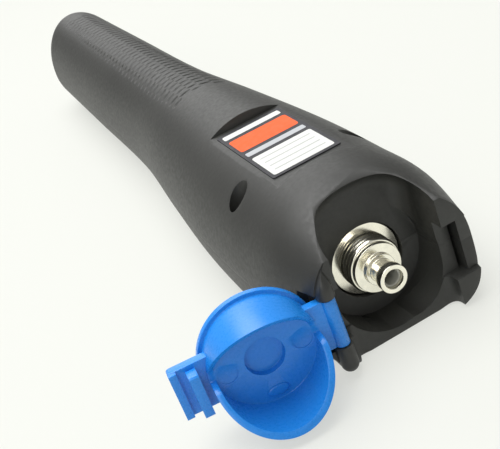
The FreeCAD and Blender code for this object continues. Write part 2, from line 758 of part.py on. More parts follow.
def in_place(solid):
    """Cap modelled shut, swung open about the hinge."""
    turned_solid = solid.copy()
    turned_solid.rotate(Vector(HINGE_X, HINGE_Y, 0), Vector(0, 0, 1), -HINGE_OPEN_ANGLE)
    return turned_solid


def cup():
    front = HINGE_Y + CUP_FRONT
    back = HINGE_Y + CUP_BACK
    floor_y = HINGE_Y + CUP_FLOOR
    plate_y = floor_y - CUP_FLOOR_THICK
    lip_y = front + CUP_LIP_THICK
    inside = CUP_RADIUS - CUP_WALL
    solid = rod(CUP_RADIUS, front, back).fuse(rod(CUP_LIP_RADIUS, front, lip_y))
    hood_end = 12.0
    rise = HOOD_SLOPE * (hood_end - HOOD_START)
    keep = prism_along_x([(front - 1, AXIS_Z - hood_end),
                          (HINGE_Y + BOWL_START + BOWL_SLOPE * hood_end, AXIS_Z - hood_end),
                          (HINGE_Y + BOWL_START, AXIS_Z),
                          (floor_y, AXIS_Z + EPS),
                          (floor_y, AXIS_Z + HOOD_START),
                          (floor_y + rise, AXIS_Z + hood_end),
                          (front - 1, AXIS_Z + hood_end)], FAR)
    solid = solid.common(keep)
    cuts = [rod(inside, floor_y, back + 1), rod(inside, front - 1, plate_y)]
    cuts.append(rod(POCKET_RADIUS, floor_y - POCKET_DEPTH, floor_y + 1))
    for side in (-1, 1):
        cuts.append(rod(MARK_RADIUS, floor_y - MARK_DEPTH, floor_y + 1, side * MARK_OFFSET))
    return solid.cut(cuts)


def dust_cap():
    barrel = post(HINGE_BARREL_RADIUS, AXIS_Z - BARREL_HALF, AXIS_Z + BARREL_HALF, HINGE_X, HINGE_Y)
    wall_x = HINGE_X + 4.0
    strap = box(HINGE_X, wall_x, HINGE_Y + STRAP_FRONT, HINGE_Y + CUP_FLOOR,
                AXIS_Z - BARREL_HALF, AXIS_Z + BARREL_HALF)
    low = AXIS_Z - TAB_HALF_HEIGHT
    high = AXIS_Z + TAB_HALF_HEIGHT
    edge_x = HINGE_X + TAB_REACH
    tab = box(HINGE_X + TAB_ROOT, edge_x, HINGE_Y - TAB_THICK, HINGE_Y, low, high)
    snap_x = HINGE_X + SNAP_START
    snap = box(snap_x, snap_x + SNAP_WIDTH, HINGE_Y - EPS, HINGE_Y + SNAP_REACH,
               low, AXIS_Z + SNAP_TOP)
    edge = box(edge_x - EDGE_WIDTH, edge_x, HINGE_Y - EPS, HINGE_Y + EDGE_REACH, low, high)
    cap = cup().fuse([barrel, strap, tab, snap, edge])
    cap = cap.cut(post(PIN_RADIUS + PIN_CLEAR, 0, FAR, HINGE_X, HINGE_Y))
    return in_place(cap)


def hinge_pin():
    return post(PIN_RADIUS, AXIS_Z - PIN_HALF, AXIS_Z + PIN_HALF, HINGE_X, HINGE_Y)


def ferrule_adapter():
    shoulder_y = -BARREL_LENGTH - SHOULDER_LENGTH
    collar_y = shoulder_y - COLLAR_LENGTH
    tip_y = -NOZZLE_REACH + TIP_LENGTH
    bore = SLEEVE_RADIUS + SLEEVE_CLEAR
    profile = [(-NOZZLE_REACH, bore), (-NOZZLE_REACH, TIP_RADIUS), (tip_y, TIP_RADIUS),
               (tip_y, NECK_RADIUS), (collar_y, NECK_RADIUS), (collar_y, COLLAR_RADIUS),
               (shoulder_y, COLLAR_RADIUS), (shoulder_y, SHOULDER_RADIUS),
               (-BARREL_LENGTH, SHOULDER_RADIUS)]
    pitch = BARREL_LENGTH / RING_COUNT
    for i in range(RING_COUNT):
        y = -BARREL_LENGTH + i * pitch
        profile.append((y, BARREL_RADIUS - RING_DEPTH))
        profile.append((y + pitch / 2, BARREL_RADIUS))
    profile += [(0, BARREL_RADIUS - RING_DEPTH), (0, FLANGE_RADIUS),
                (FLANGE_THICK, FLANGE_RADIUS), (FLANGE_THICK, STEM_RADIUS),
                (STEM_REAR_Y, STEM_RADIUS), (STEM_REAR_Y, bore)]
    return turned(profile)


def alignment_sleeve():
    tube = rod(SLEEVE_RADIUS, SLEEVE_FRONT_Y, SLEEVE_REAR_Y)
    tube = tube.cut(rod(FERRULE_RADIUS, SLEEVE_FRONT_Y - 1, SLEEVE_REAR_Y + 1))
    half = SLEEVE_SLIT / 2
    slit = box(-half, half, SLEEVE_FRONT_Y - 1, SLEEVE_REAR_Y + 1, AXIS_Z, FAR)
    return tube.cut(slit)


def laser_housing():
    body = rod(HOUSING_RADIUS, WALL_REAR_Y, HOUSING_REAR_Y)
    cuts = [rod(STEM_RADIUS + FIT, WALL_REAR_Y - 1, STEM_REAR_Y)]
    cuts.append(rod(LENS_RADIUS - LENS_LEDGE, STEM_REAR_Y - 1, HOUSING_REAR_Y))
    cuts.append(rod(LENS_RADIUS + FIT, LENS_FRONT_Y, DIODE_SEAT_Y))
    cuts.append(rod(DIODE_FLANGE_RADIUS + FIT, DIODE_SEAT_Y, HOUSING_REAR_Y + 1))
    front = DIODE_SEAT_Y - 2 * HOUSING_GROOVE_WIDTH
    groove = rod(HOUSING_RADIUS + 1, front, front + HOUSING_GROOVE_WIDTH)
    cuts.append(groove.cut(rod(HOUSING_RADIUS - HOUSING_GROOVE_DEPTH, front - 1, DIODE_SEAT_Y)))
    return body.cut(cuts)


def focusing_lens():
    """Flat in front against the shelf, domed towards the diode."""
    disc = rod(LENS_RADIUS, LENS_FRONT_Y, LENS_FRONT_Y + LENS_THICK)
    centre = Vector(0, LENS_FRONT_Y + LENS_THICK - LENS_CURVE, AXIS_Z)
    return disc.common(Part.makeSphere(LENS_CURVE, centre))


def lens_edge():
    """Thickness of the lens at its rim."""
    return LENS_THICK - LENS_CURVE + math.sqrt(LENS_CURVE ** 2 - LENS_RADIUS ** 2)


def lens_retainer():
    y = LENS_FRONT_Y + lens_edge() + FIT
    ring = rod(LENS_RADIUS, y, y + RETAINER_THICK)
    centre = Vector(0, LENS_FRONT_Y + LENS_THICK - LENS_CURVE, AXIS_Z)
    ring = ring.cut(rod(RETAINER_HOLE, y - 1, y + RETAINER_THICK + 1))
    return ring.cut(Part.makeSphere(LENS_CURVE + FIT, centre))


def laser_diode():
    flange = rod(DIODE_FLANGE_RADIUS, DIODE_SEAT_Y, DIODE_SEAT_Y + DIODE_FLANGE_THICK)
    can = rod(DIODE_CAN_RADIUS, DIODE_SEAT_Y - DIODE_CAN_LENGTH, DIODE_SEAT_Y)
    back = DIODE_SEAT_Y + DIODE_FLANGE_THICK
    end = HOUSING_REAR_Y - DIODE_SINK + DIODE_FLANGE_THICK + DIODE_PIN_LENGTH
    pins = []
    for x, z in ((-1, 0), (1, 0), (0, -1)):
        pins.append(rod(DIODE_PIN_RADIUS, back - EPS, end, x * DIODE_PIN_OFFSET,
                        AXIS_Z + z * DIODE_PIN_OFFSET))
    return flange.fuse([can] + pins)


def circuit_board():
    board = box(-BOARD_HALF_WIDTH, BOARD_HALF_WIDTH, BOARD_FRONT_Y, BOARD_BACK_Y,
                BOARD_TOP - BOARD_THICK, BOARD_TOP)
    holes = []
    for x, y in BOARD_SCREWS:
        holes.append(post(BOARD_SCREW_RADIUS + BOARD_HOLE_CLEAR, 0, FAR, x, y))
    return board.cut(holes)


def cross_drive(x, y, top, half, width, depth):
    slot = box(x - half, x + half, y - width / 2, y + width / 2, top - depth, top + 1)
    other = box(x - width / 2, x + width / 2, y - half, y + half, top - depth, top + 1)
    return slot.fuse(other)


def screw(x, y, seat, head_radius, head_height, shank_radius, length):
    head = post(head_radius, seat, seat + head_height, x, y)
    shank = post(shank_radius, seat - length, seat + EPS, x, y)
    drive = cross_drive(x, y, seat + head_height, head_radius * 0.55, DRIVE_WIDTH,
                        head_height * 0.5)
    return head.fuse(shank).cut(drive)


def board_screws():
    parts = [screw(x, y, BOARD_TOP, BOARD_HEAD_RADIUS, BOARD_HEAD_HEIGHT,
                   BOARD_SCREW_RADIUS, BOARD_SCREW_LENGTH) for x, y in BOARD_SCREWS]
    return Part.makeCompound(parts)


def case_screws():
    parts = [screw(side * SCREW_X, SCREW_Y, SCREW_SEAT_Z, SCREW_HEAD_RADIUS,
                   SCREW_HEAD_HEIGHT, SCREW_SHANK_RADIUS, SCREW_LENGTH) for side in (-1, 1)]
    return Part.makeCompound(parts)


def driver_chip():
    x = CHIP_X
    y = BOARD_FRONT_Y + CHIP_FROM_FRONT
    bottom = BOARD_TOP + CHIP_STANDOFF
    body = box(x - CHIP_WIDTH / 2, x + CHIP_WIDTH / 2, y - CHIP_LENGTH / 2,
               y + CHIP_LENGTH / 2, bottom, bottom + CHIP_HEIGHT)
    leads = []
    for side in (-1, 1):
        for i in range(4):
            lead_y = y + (i - 1.5) * LEAD_PITCH
            root_x = x + side * CHIP_WIDTH / 2
            tip_x = root_x + side * LEAD_REACH
            leads.append(box(min(root_x, tip_x) - EPS, max(root_x, tip_x) + EPS,
                             lead_y - LEAD_WIDTH / 2, lead_y + LEAD_WIDTH / 2,
                             BOARD_TOP, BOARD_TOP + CHIP_STANDOFF + LEAD_THICK))
    return body.fuse(leads)


def trim_potentiometer():
    x = TRIMMER_X
    y = BOARD_BACK_Y - TRIMMER_FROM_BACK
    half = TRIMMER_SIZE / 2
    body = box(x - half, x + half, y - half, y + half, BOARD_TOP, BOARD_TOP + TRIMMER_HEIGHT)
    top = BOARD_TOP + TRIMMER_HEIGHT + DIAL_PROUD
    dial = post(TRIMMER_DIAL, BOARD_TOP, top, x, y)
    drive = cross_drive(x, y, top, TRIMMER_DIAL * 0.7, DRIVE_WIDTH, DIAL_PROUD)
    return body.fuse(dial).cut(drive)


def smoothing_capacitor():
    x = CAPACITOR_X
    y = BOARD_FRONT_Y + CAPACITOR_FROM_FRONT
    return post(CAPACITOR_RADIUS, BOARD_TOP, BOARD_TOP + CAPACITOR_HEIGHT, x, y)


def front_contact():
    front = BATTERY_FRONT_Y - CONTACT_THICK
    plate = box(-CONTACT_HALF_WIDTH, CONTACT_HALF_WIDTH, front, BATTERY_FRONT_Y,
                CONTACT_BOTTOM, CONTACT_TOP)
    foot = box(-FOOT_HALF_WIDTH, FOOT_HALF_WIDTH, BOARD_BACK_Y - FOOT_LAP, front + EPS,
               BOARD_TOP, BOARD_TOP + CONTACT_THICK)
    return plate.fuse(foot)


def battery(y):
    body_y = y + BATTERY_NUB
    end = body_y + BATTERY_BODY
    can = rod(BATTERY_RADIUS, body_y + BATTERY_SHOULDER, end, 0, BATTERY_Z)
    shoulder = frustum_along_y(BATTERY_RADIUS - BATTERY_SHOULDER, BATTERY_RADIUS,
                               body_y, body_y + BATTERY_SHOULDER, 0, BATTERY_Z)
    nub = rod(BATTERY_NUB_RADIUS, y, body_y + EPS, 0, BATTERY_Z)
    return can.fuse([shoulder, nub])


def tail_spring():
    """Coil of flat-sided wire between the rear battery and the switch board."""
    height = SPRING_LENGTH - 2 * SPRING_WIRE
    rise = height / (2 * math.pi * SPRING_TURNS)
    lean = math.atan2(rise, SPRING_RADIUS)
    sections = []
    steps = SPRING_TURNS * SPRING_STEPS
    for i in range(steps + 1):
        turn = 2 * math.pi * SPRING_TURNS * i / steps
        out = Vector(math.cos(turn), 0, math.sin(turn))
        round_y = Vector(math.sin(turn) * math.sin(lean), math.cos(lean),
                         -math.cos(turn) * math.sin(lean))
        y = BATTERY_REAR_Y + SPRING_WIRE + rise * turn
        centre = Vector(0, y, BATTERY_Z) + out * SPRING_RADIUS
        points = []
        for k in range(SPRING_SIDES):
            side = 2 * math.pi * k / SPRING_SIDES
            offset = out * math.cos(side) + round_y * math.sin(side)
            points.append(centre + offset * SPRING_WIRE)
        points.append(points[0])
        sections.append(Part.makePolygon(points))
    return Part.makeLoft(sections, True, True)


def contact_strip():
    x1 = STRIP_X - STRIP_THICK
    top = BOARD_TOP + STRIP_HEIGHT
    front = BOARD_BACK_Y - STRIP_LAP
    run = box(x1, STRIP_X, front, SWITCH_BOARD_Y, BOARD_TOP, top)
    foot = box(x1, STRIP_X + FOOT_LAP, SWITCH_BOARD_Y - STRIP_THICK, SWITCH_BOARD_Y, BOARD_TOP, top)
    return run.fuse(foot)


def switch_board():
    return rod(SWITCH_BOARD_RADIUS, SWITCH_BOARD_Y, SWITCH_Y, 0, BATTERY_Z)


def tail_switch():
    body = box(-SWITCH_HALF, SWITCH_HALF, SWITCH_Y, SWITCH_REAR_Y,
               BATTERY_Z - SWITCH_HALF, BATTERY_Z + SWITCH_HALF)
    bore = rod(PLUNGER_RADIUS + PLUNGER_CLEAR, SWITCH_REAR_Y - PLUNGER_BORE,
               SWITCH_REAR_Y + 1, 0, BATTERY_Z)
    return body.cut(bore)


def switch_plunger():
    front = SWITCH_REAR_Y - PLUNGER_SINK
    return rod(PLUNGER_RADIUS, front, BUTTON_FLANGE_Y - BUTTON_FLANGE_THICK, 0, BATTERY_Z)


def power_button():
    flange_y = BUTTON_FLANGE_Y - BUTTON_FLANGE_THICK
    flange = rod(BUTTON_FLANGE, flange_y, BUTTON_FLANGE_Y, 0, BATTERY_Z)
    end = TAIL_Y + BUTTON_PROUD
    cap = rod(BUTTON_RADIUS, flange_y, end, 0, BATTERY_Z)
    cap = cap.makeFillet(BUTTON_EDGE, end_edges(cap, end))
    return flange.fuse(cap)


def label_plate():
    half = LABEL_WIDTH / 2
    return box(-half, half, LABEL_FRONT_Y, LABEL_FRONT_Y + LABEL_LENGTH,
               LABEL_Z, LABEL_Z + LABEL_THICK)


def save(name, shape):
    """Write the piece and say whether it is sound."""
    shape.exportStep("parts/" + name + ".step")
    print(name, len(shape.Solids), shape.isValid(), round(shape.Volume, 1), flush=True)


if __name__ == "__main__":
    os.makedirs("parts", exist_ok=True)
    outer = outer_form()
    inner = inner_form()
    frames = framing(inner)
    save("upper_shell", upper_shell(outer, inner, frames))
    save("lower_shell", lower_shell(outer, inner, frames))
    save("battery_door", battery_door(outer, inner))
    save("dust_cap", dust_cap())
    save("hinge_pin", hinge_pin())
    save("ferrule_adapter", ferrule_adapter())
    save("alignment_sleeve", alignment_sleeve())
    save("laser_housing", laser_housing())
    save("focusing_lens", focusing_lens())
    save("lens_retainer", lens_retainer())
    save("laser_diode", laser_diode())
    save("circuit_board", circuit_board())
    save("board_screws", board_screws())
    save("driver_chip", driver_chip())
    save("trim_potentiometer", trim_potentiometer())
    save("smoothing_capacitor", smoothing_capacitor())
    save("front_contact", front_contact())
    save("battery_front", battery(BATTERY_FRONT_Y))
    save("battery_rear", battery(BATTERY_FRONT_Y + BATTERY_LENGTH))
    save("tail_spring", tail_spring())
    save("contact_strip", contact_strip())
    save("switch_board", switch_board())
    save("tail_switch", tail_switch())
    save("switch_plunger", switch_plunger())
    save("power_button", power_button())
    save("case_screws", case_screws())
    save("label_plate", label_plate())
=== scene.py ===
import math

import bpy
import numpy as np
from mathutils import Matrix, Vector


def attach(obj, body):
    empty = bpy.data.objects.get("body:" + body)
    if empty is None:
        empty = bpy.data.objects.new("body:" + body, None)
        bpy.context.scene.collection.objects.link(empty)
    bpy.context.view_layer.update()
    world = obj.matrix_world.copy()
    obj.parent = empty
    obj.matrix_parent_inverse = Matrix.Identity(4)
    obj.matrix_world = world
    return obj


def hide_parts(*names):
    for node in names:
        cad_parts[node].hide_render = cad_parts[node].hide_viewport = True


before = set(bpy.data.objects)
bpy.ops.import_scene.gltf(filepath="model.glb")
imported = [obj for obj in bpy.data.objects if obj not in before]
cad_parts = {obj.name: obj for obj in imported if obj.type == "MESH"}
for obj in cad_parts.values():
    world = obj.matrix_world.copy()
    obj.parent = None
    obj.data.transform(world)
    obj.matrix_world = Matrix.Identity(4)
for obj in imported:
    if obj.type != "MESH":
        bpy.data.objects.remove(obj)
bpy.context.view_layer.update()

bl_info = {
    "name": "Visual fault locator",
    "version": (1, 0, 0),
    "blender": (4, 5, 0),
    "location": "View3D > Sidebar > Fault locator",
    "description": "Builds the moulded case, dust cap, adapter and trim of a fibre tester",
    "category": "Add Mesh",
}

MM = 0.001

# Sizes in millimetres, as in the part's own drawing.
AXIS_Z = 10.5
NOSE_Y, TAIL_Y = -10.1, 164.5
TAIL_ROUNDING = 8.2
SOLE_DEPTH = 0.15
WALL, END_WALL = 1.8, 2.2
BACK_WALL_Y, WALL_REAR_Y = -0.8, 2.6
TROUGH_RADIUS, ARCH_HALF_WIDTH, ARCH_START, ARCH_APEX = 9.3, 9.2, 9.4, 15.0
SCOOP_APEX, SCOOP_SLOPE, SCOOP_FILLET = 15.5, 0.60, 3.0
FOOT_INNER_X, TROUGH_FRONT_Y = 9.4, -7.3
FLANGE_SEAT_RADIUS, FLANGE_SEAT_Y, STEM_HOLE_RADIUS = 6.25, 1.4, 3.62
LATCH_X, LATCH_SLOT_X, LATCH_SLOT_Y, LATCH_SKIN_Y = (8.3, 12.2), 11.5, -4.0, -8.9
LATCH_DROP, LATCH_RISE = 5.3, 4.6
LABEL_Z, LABEL_THICK, LABEL_HALF, LABEL_Y = AXIS_Z + 14.5, 0.2, 6.35, (10.4, 34.4)
RECESS_Y, PAN_HALF, PAN_WALL = (7.2, 35.8), 8.6, 1.6
PRINT_HALF, PRINT_SUNK = 5.7, 0.01
SCREW_X, SCREW_Y, SCREW_SEAT_Z, WELL_RADIUS, BOSS_WALL = 11.1, 16.5, 13.7, 2.1, 1.2
SHANK_HOLE, THREAD_HOLE, THREAD_HOLE_Z = 1.15, 1.02, SCREW_SEAT_Z - 9.25
CUP_RADIUS, BOWL_START, BOWL_SLOPE, SWING_CLEAR = 8.8, 3.3, 0.67, 0.3
EAR_RADIUS, EAR_GAP, EAR_BOTTOM, FOOT_ROUNDING = 1.4, 4.4, 2.6, 2.5
EAR_ROOT_Y, EAR_STEPS = -7.2, 33
HINGE_X, HINGE_Y, OPEN_ANGLE = -11.5, -10.5, 187.0
HINGE_GAP_X, HINGE_SIDE_X, HINGE_SIDE_Y, HINGE_SIDE_HALF = -8.3, -12.9, -6.4, 5.2
DOOR_FRONT_Y, DOOR_TOP = 50.0, 5.4
BUTTON_Z, BUTTON_ROOM_Y, BUTTON_SEAT_RADIUS, BUTTON_HOLE_RADIUS = 11.0, 157.4, 5.6, 4.4
GRIP_FRONT_Y, GRIP_COUNT, GRIP_PITCH, GRIP_GROOVE, GRIP_DEPTH = 58.0, 38, 2.45, 0.7, 0.42
GRIP_HALF, GRIP_COLUMN = (6.0, 3.6), 2.4

# Dust cap, shut: places along Y are counted from the hinge.
CUP_BORE, CUP_REAR, CUP_FLOOR, CUP_FRONT = 7.9, 9.6, 0.4, -1.6
POCKET_RADIUS, POCKET_FLOOR = 3.1, -0.8
RIM_RADIUS, RIM_FRONT, RIM_REAR = 9.45, -3.2, -2.2
BARREL_RADIUS, BARREL_HALF, PIN_HOLE_RADIUS = 1.15, 4.15, 0.56
TAB_X, TAB_EDGE_X, TAB_EDGE, TAB_HALF = 18.6, 25.4, 1.2, 4.1
SNAP_X, SNAP_REAR, SNAP_RISE = (21.4, 22.9), 2.5, 3.5
MARK_RADIUS, MARK_X, MARK_FLOOR = 1.6, 6.0, 0.25
GATE_HALF, GATE_DROP, GATE_RINGS = (1.7, 0.85), 6.2, ((1, 0.2), (1, 0.62), (0.88, 0.74))

# Adapter: radii, and the thread between its collar and the flange.
ADAPTER_BORE, STEM_RADIUS, STEM_REAR_Y, FLANGE_RADIUS = 1.63, 3.6, 8.0, 6.0
NOZZLE_FRONT_Y, NOZZLE_LIP, NOZZLE_NECK = -8.85, 2.34, 1.95
THREAD_FRONT_Y, THREAD_PITCH, THREAD_TURNS, THREAD_ROOT, THREAD_CREST = -3.4, 0.85, 4, 4.35, 4.6
SLEEVE_BORE, SLEEVE_RADIUS, SLEEVE_Y, SLEEVE_SLIT = 1.25, 1.6, (-8.05, 3.35), 0.35

# How far the cutters reach past the body: across, up and down, and along it.
REACH_X, REACH_Z, REACH_Y = 30, 60, 220
CUT_FRONT_Y = NOSE_Y - 4

# Camera in the part's frame: place, direction and roll in degrees, focal length.
CAMERA_PLACE = (-0.05116, -0.13723, 0.10006)
CAMERA_TURN, CAMERA_LIFT, CAMERA_ROLL = -14.63, 27.70, -21.54
SENSOR_WIDTH, FOCAL_LENGTH = 36.0, 78.4

# Place along the body, half width, crown, squareness above and below the axis.
STATIONS = np.array([
    (-10.1, 14.0, 12.4, 2.35, 3.7),
    (0.0, 16.106, 15.481, 2.2, 3.5),
    (11.0, 16.6, 15.91, 2.05, 3.4),
    (24.0, 16.536, 16.3, 1.98, 3.2),
    (36.0, 15.96, 16.3, 1.95, 3.0),
    (55.275, 14.168, 15.985, 1.95, 2.7),
    (80.975, 11.608, 14.998, 2.0, 2.4),
    (119.525, 10.968, 14.536, 2.0, 2.2),
    (164.5, 10.2, 14.2, 2.0, 2.05),
])


# ---------------------------------------------------------------- meshes

def piece_from(name, points, faces):
    """Mesh object from points in millimetres and a list of faces."""
    mesh = bpy.data.meshes.new(name)
    mesh.from_pydata((np.asarray(points) * MM).tolist(), [], faces)
    mesh.validate()
    obj = bpy.data.objects.new(name, mesh)
    bpy.context.collection.objects.link(obj)
    return obj


def strip_faces(rows, columns, first=0):
    """Quads between neighbouring closed rings of points: (i, j), (i, j+1), ..."""
    i, j = np.meshgrid(np.arange(rows - 1), np.arange(columns), indexing="ij")
    k = (j + 1) % columns
    quads = np.stack([i * columns + j, i * columns + k,
                      (i + 1) * columns + k, (i + 1) * columns + j], -1)
    return (quads.reshape(-1, 4) + first).tolist()


def tube_of(name, rings):
    """Closed solid through rings of points (rows, columns, 3), flat at both ends."""
    rows, columns = rings.shape[:2]
    faces = strip_faces(rows, columns)
    faces.append(list(range(columns))[::-1])
    faces.append([(rows - 1) * columns + j for j in range(columns)])
    return outward(piece_from(name, rings.reshape(-1, 3), faces))


def outward(obj):
    """Turns the faces of a closed mesh outwards."""
    mesh = obj.data
    co = np.empty(len(mesh.vertices) * 3)
    mesh.vertices.foreach_get("co", co)
    co = co.reshape(-1, 3)
    mesh.calc_loop_triangles()
    tri = np.empty(len(mesh.loop_triangles) * 3, int)
    mesh.loop_triangles.foreach_get("vertices", tri)
    a, b, c = (co[tri.reshape(-1, 3)[:, i]] for i in range(3))
    if np.einsum("ij,ij->i", a, np.cross(b, c)).sum() < 0:
        mesh.flip_normals()
    return obj


def rounded(corners, radius, steps=4, closed=True):
    """Polyline whose corners are replaced by short parabolic arcs: each corner p is
    blended between the points one radius before and after it,
    (1 - t)^2 start + 2 t (1 - t) p + t^2 end."""
    p = np.asarray(corners, float)
    before, after = np.roll(p, 1, 0) - p, np.roll(p, -1, 0) - p
    lb = np.linalg.norm(before, axis=1, keepdims=True)
    la = np.linalg.norm(after, axis=1, keepdims=True)
    r = np.broadcast_to(np.asarray(radius, float).reshape(-1, 1), lb.shape)
    reach = np.minimum(r, np.minimum(lb, la) * 0.45)
    start, end = p + before / lb * reach, p + after / la * reach
    t = np.linspace(0, 1, steps)[None, :, None]
    arc = (1 - t) ** 2 * start[:, None] + 2 * t * (1 - t) * p[:, None] + t ** 2 * end[:, None]
    if closed:
        return arc.reshape(-1, p.shape[1])
    return np.concatenate([p[:1], arc[1:-1].reshape(-1, p.shape[1]), p[-1:]])


def turned(name, profile, x=0.0, z=AXIS_Z, radius=0.12, segments=96, steps=4):
    """Solid of revolution about an axis along Y.  The profile is a list of
    (y, r) corners; it starts and ends on the axis, or closes on itself."""
    on_axis = profile[0][1] == 0
    line = rounded(profile, radius, steps, closed=not on_axis)
    turn = np.linspace(0, 2 * np.pi, segments, endpoint=False)
    if on_axis:
        inner = line[1:-1]
    else:
        inner = np.vstack([line, line[:1]])
    r, y = inner[:, 1:2], inner[:, 0:1]
    rings = np.stack([x + r * np.cos(turn), y + 0 * turn, z + r * np.sin(turn)], -1)
    rows = len(inner)
    if not on_axis:
        points = rings[:-1].reshape(-1, 3)
        faces = np.array(strip_faces(rows, segments)) % ((rows - 1) * segments)
        return outward(piece_from(name, points, faces.tolist()))
    points = np.vstack([rings.reshape(-1, 3), [[x, line[0, 0], z], [x, line[-1, 0], z]]])
    faces = strip_faces(rows, segments)
    j = np.arange(segments)
    k = (j + 1) % segments
    first, last = rows * segments, rows * segments + 1
    base = (rows - 1) * segments
    faces += np.stack([np.full(segments, first), k, j], -1).tolist()
    faces += np.stack([np.full(segments, last), base + j, base + k], -1).tolist()
    return outward(piece_from(name, points, faces))


def prism(name, outline, axis, low, high, radius=0.0, steps=4):
    """Outline of corners in a plane, carried straight along one axis."""
    flat = np.asarray(outline, float)
    if radius:
        flat = rounded(flat, radius, steps)
    rings = []
    for place in (low, high):
        rings.append(np.insert(flat, axis, place, axis=1))
    return tube_of(name, np.array(rings))


def block(name, x, y, z, radius=0.0, axis=2):
    """Box between pairs of coordinates, its edges along one axis rounded."""
    spans = [x, y, z]
    low, high = spans.pop(axis)
    (a, b), (c, d) = spans
    return prism(name, [(a, c), (b, c), (b, d), (a, d)], axis, low, high, radius)


def circle(radius, x, y, segments):
    turn = np.linspace(0, 2 * np.pi, segments, endpoint=False)
    return np.stack([x + radius * np.cos(turn), y + radius * np.sin(turn)], -1)


def post(name, radius, z1, z2, x, y, segments=64):
    """Round bar along Z."""
    return prism(name, circle(radius, x, y, segments), 2, z1, z2)


def rod(name, radius, y1, y2, x=0.0, z=AXIS_Z, segments=96):
    """Round bar along Y."""
    return prism(name, circle(radius, x, z, segments), 1, y1, y2)


def combine(obj, others, how):
    """Boolean of obj with each of the others, which are used up."""
    for other in others:
        mod = obj.modifiers.new(how, "BOOLEAN")
        mod.operation, mod.object, mod.solver = how, other, "MANIFOLD"
        bake(obj)
        bpy.data.objects.remove(other, do_unlink=True)
    return obj


def bake(obj):
    """Applies every modifier of the object."""
    graph = bpy.context.evaluated_depsgraph_get()
    mesh = bpy.data.meshes.new_from_object(obj.evaluated_get(graph))
    obj.modifiers.clear()
    old = obj.data
    obj.data = mesh
    bpy.data.meshes.remove(old)


def soften(obj, width, segments=2, angle=32):
    """Rounds the sharp edges and shades the rest smooth."""
    mod = obj.modifiers.new("edges", "BEVEL")
    mod.width, mod.segments, mod.limit_method = width * MM, segments, "ANGLE"
    mod.angle_limit = math.radians(angle)
    bake(obj)
    smooth(obj, angle)
    return obj


def smooth(obj, angle=32):
    obj.data.shade_smooth()
    obj.data.set_sharp_from_angle(angle=math.radians(angle))
    return obj


def swung_open(obj):
    """Turns a piece modelled with the cap shut into its open place."""
    hinge = Matrix.Translation((HINGE_X * MM, HINGE_Y * MM, 0))
    turn = Matrix.Rotation(math.radians(-OPEN_ANGLE), 4, "Z")
    obj.data.transform(hinge @ turn @ hinge.inverted())
    return obj


def fit_to(obj, body, nodes, slot, *materials):
    """Gives the piece its body, the CAD nodes it stands for and its finish."""
    obj.data.materials.clear()
    for material in materials:
        obj.data.materials.append(material)
    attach(obj, body)
    if nodes:
        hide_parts(*nodes)
    return obj


# ------------------------------------------------------------- body form

def form_at(y):
    """Cubic blend of the stations, with slopes from the neighbouring stations:
    half width, crown and the two powers at every y."""
    y = np.atleast_1d(np.asarray(y, float))
    place, value = STATIONS[:, 0], STATIONS[:, 1:]
    last = len(place) - 1
    before = np.maximum(np.arange(last + 1) - 1, 0)
    after = np.minimum(np.arange(last + 1) + 1, last)
    slope = (value[after] - value[before]) / (place[after] - place[before])[:, None]
    i = np.clip(np.searchsorted(place, y, side="right") - 1, 0, last - 1)
    gap = (place[i + 1] - place[i])[:, None]
    t = ((y - place[i]) / gap[:, 0])[:, None]
    a, b, m, n = value[i], value[i + 1], slope[i] * gap, slope[i + 1] * gap
    return a + m * t + (3 * (b - a) - 2 * m - n) * t ** 2 + (2 * (a - b) + m + n) * t ** 3


def section_rings(y, inset, turn, side):
    """Superellipse half sections above (side 1) or below (side -1) the axis:
    |x / half width| ** power + |z / rise| ** power = 1, by angle."""
    form = form_at(y)
    inset = np.broadcast_to(np.asarray(inset, float), (len(form),))
    a = (form[:, 0] - inset)[:, None]
    rise = form[:, 1] if side > 0 else np.full(len(form), AXIS_Z + SOLE_DEPTH)
    b = (rise - inset)[:, None]
    power = form[:, 2 if side > 0 else 3][:, None]
    c, s = np.cos(turn)[None], np.sin(turn)[None]
    r = (np.abs(c / a) ** power + np.abs(s / b) ** power) ** (-1 / power)
    y = np.broadcast_to(np.asarray(y, float)[:, None], r.shape)
    return np.stack([side * r * c, y, AXIS_Z + side * r * s], -1)


def body_rows(inset, end_inset, extra=()):
    """Places along the body and how far each section is drawn in there; the
    tail follows a quarter circle."""
    rounding = TAIL_ROUNDING - inset
    dome = TAIL_Y - TAIL_ROUNDING - end_inset + inset
    main = np.unique(np.concatenate([np.linspace(NOSE_Y, dome, 120), np.asarray(extra, float)]))
    main = main[main <= dome]
    turn = np.linspace(0, np.pi / 2, 16)[1:]
    y = np.concatenate([main, dome + rounding * np.sin(turn)])
    drawn = np.concatenate([np.full(len(main), inset), inset + rounding * (1 - np.cos(turn))])
    return y, drawn


def grip_rows():
    """Rows that follow each groove's two flanks, in both sets of columns."""
    start = GRIP_FRONT_Y + GRIP_PITCH / 2 * np.arange(2 * GRIP_COUNT)[:, None]
    return (start + np.array([-0.1, 0.2, GRIP_GROOVE - 0.2, GRIP_GROOVE + 0.1])).ravel()


def step(x, low, high):
    """Smooth step from 0 at low to 1 at high."""
    t = np.clip((x - low) / (high - low), 0, 1)
    return t * t * (3 - 2 * t)


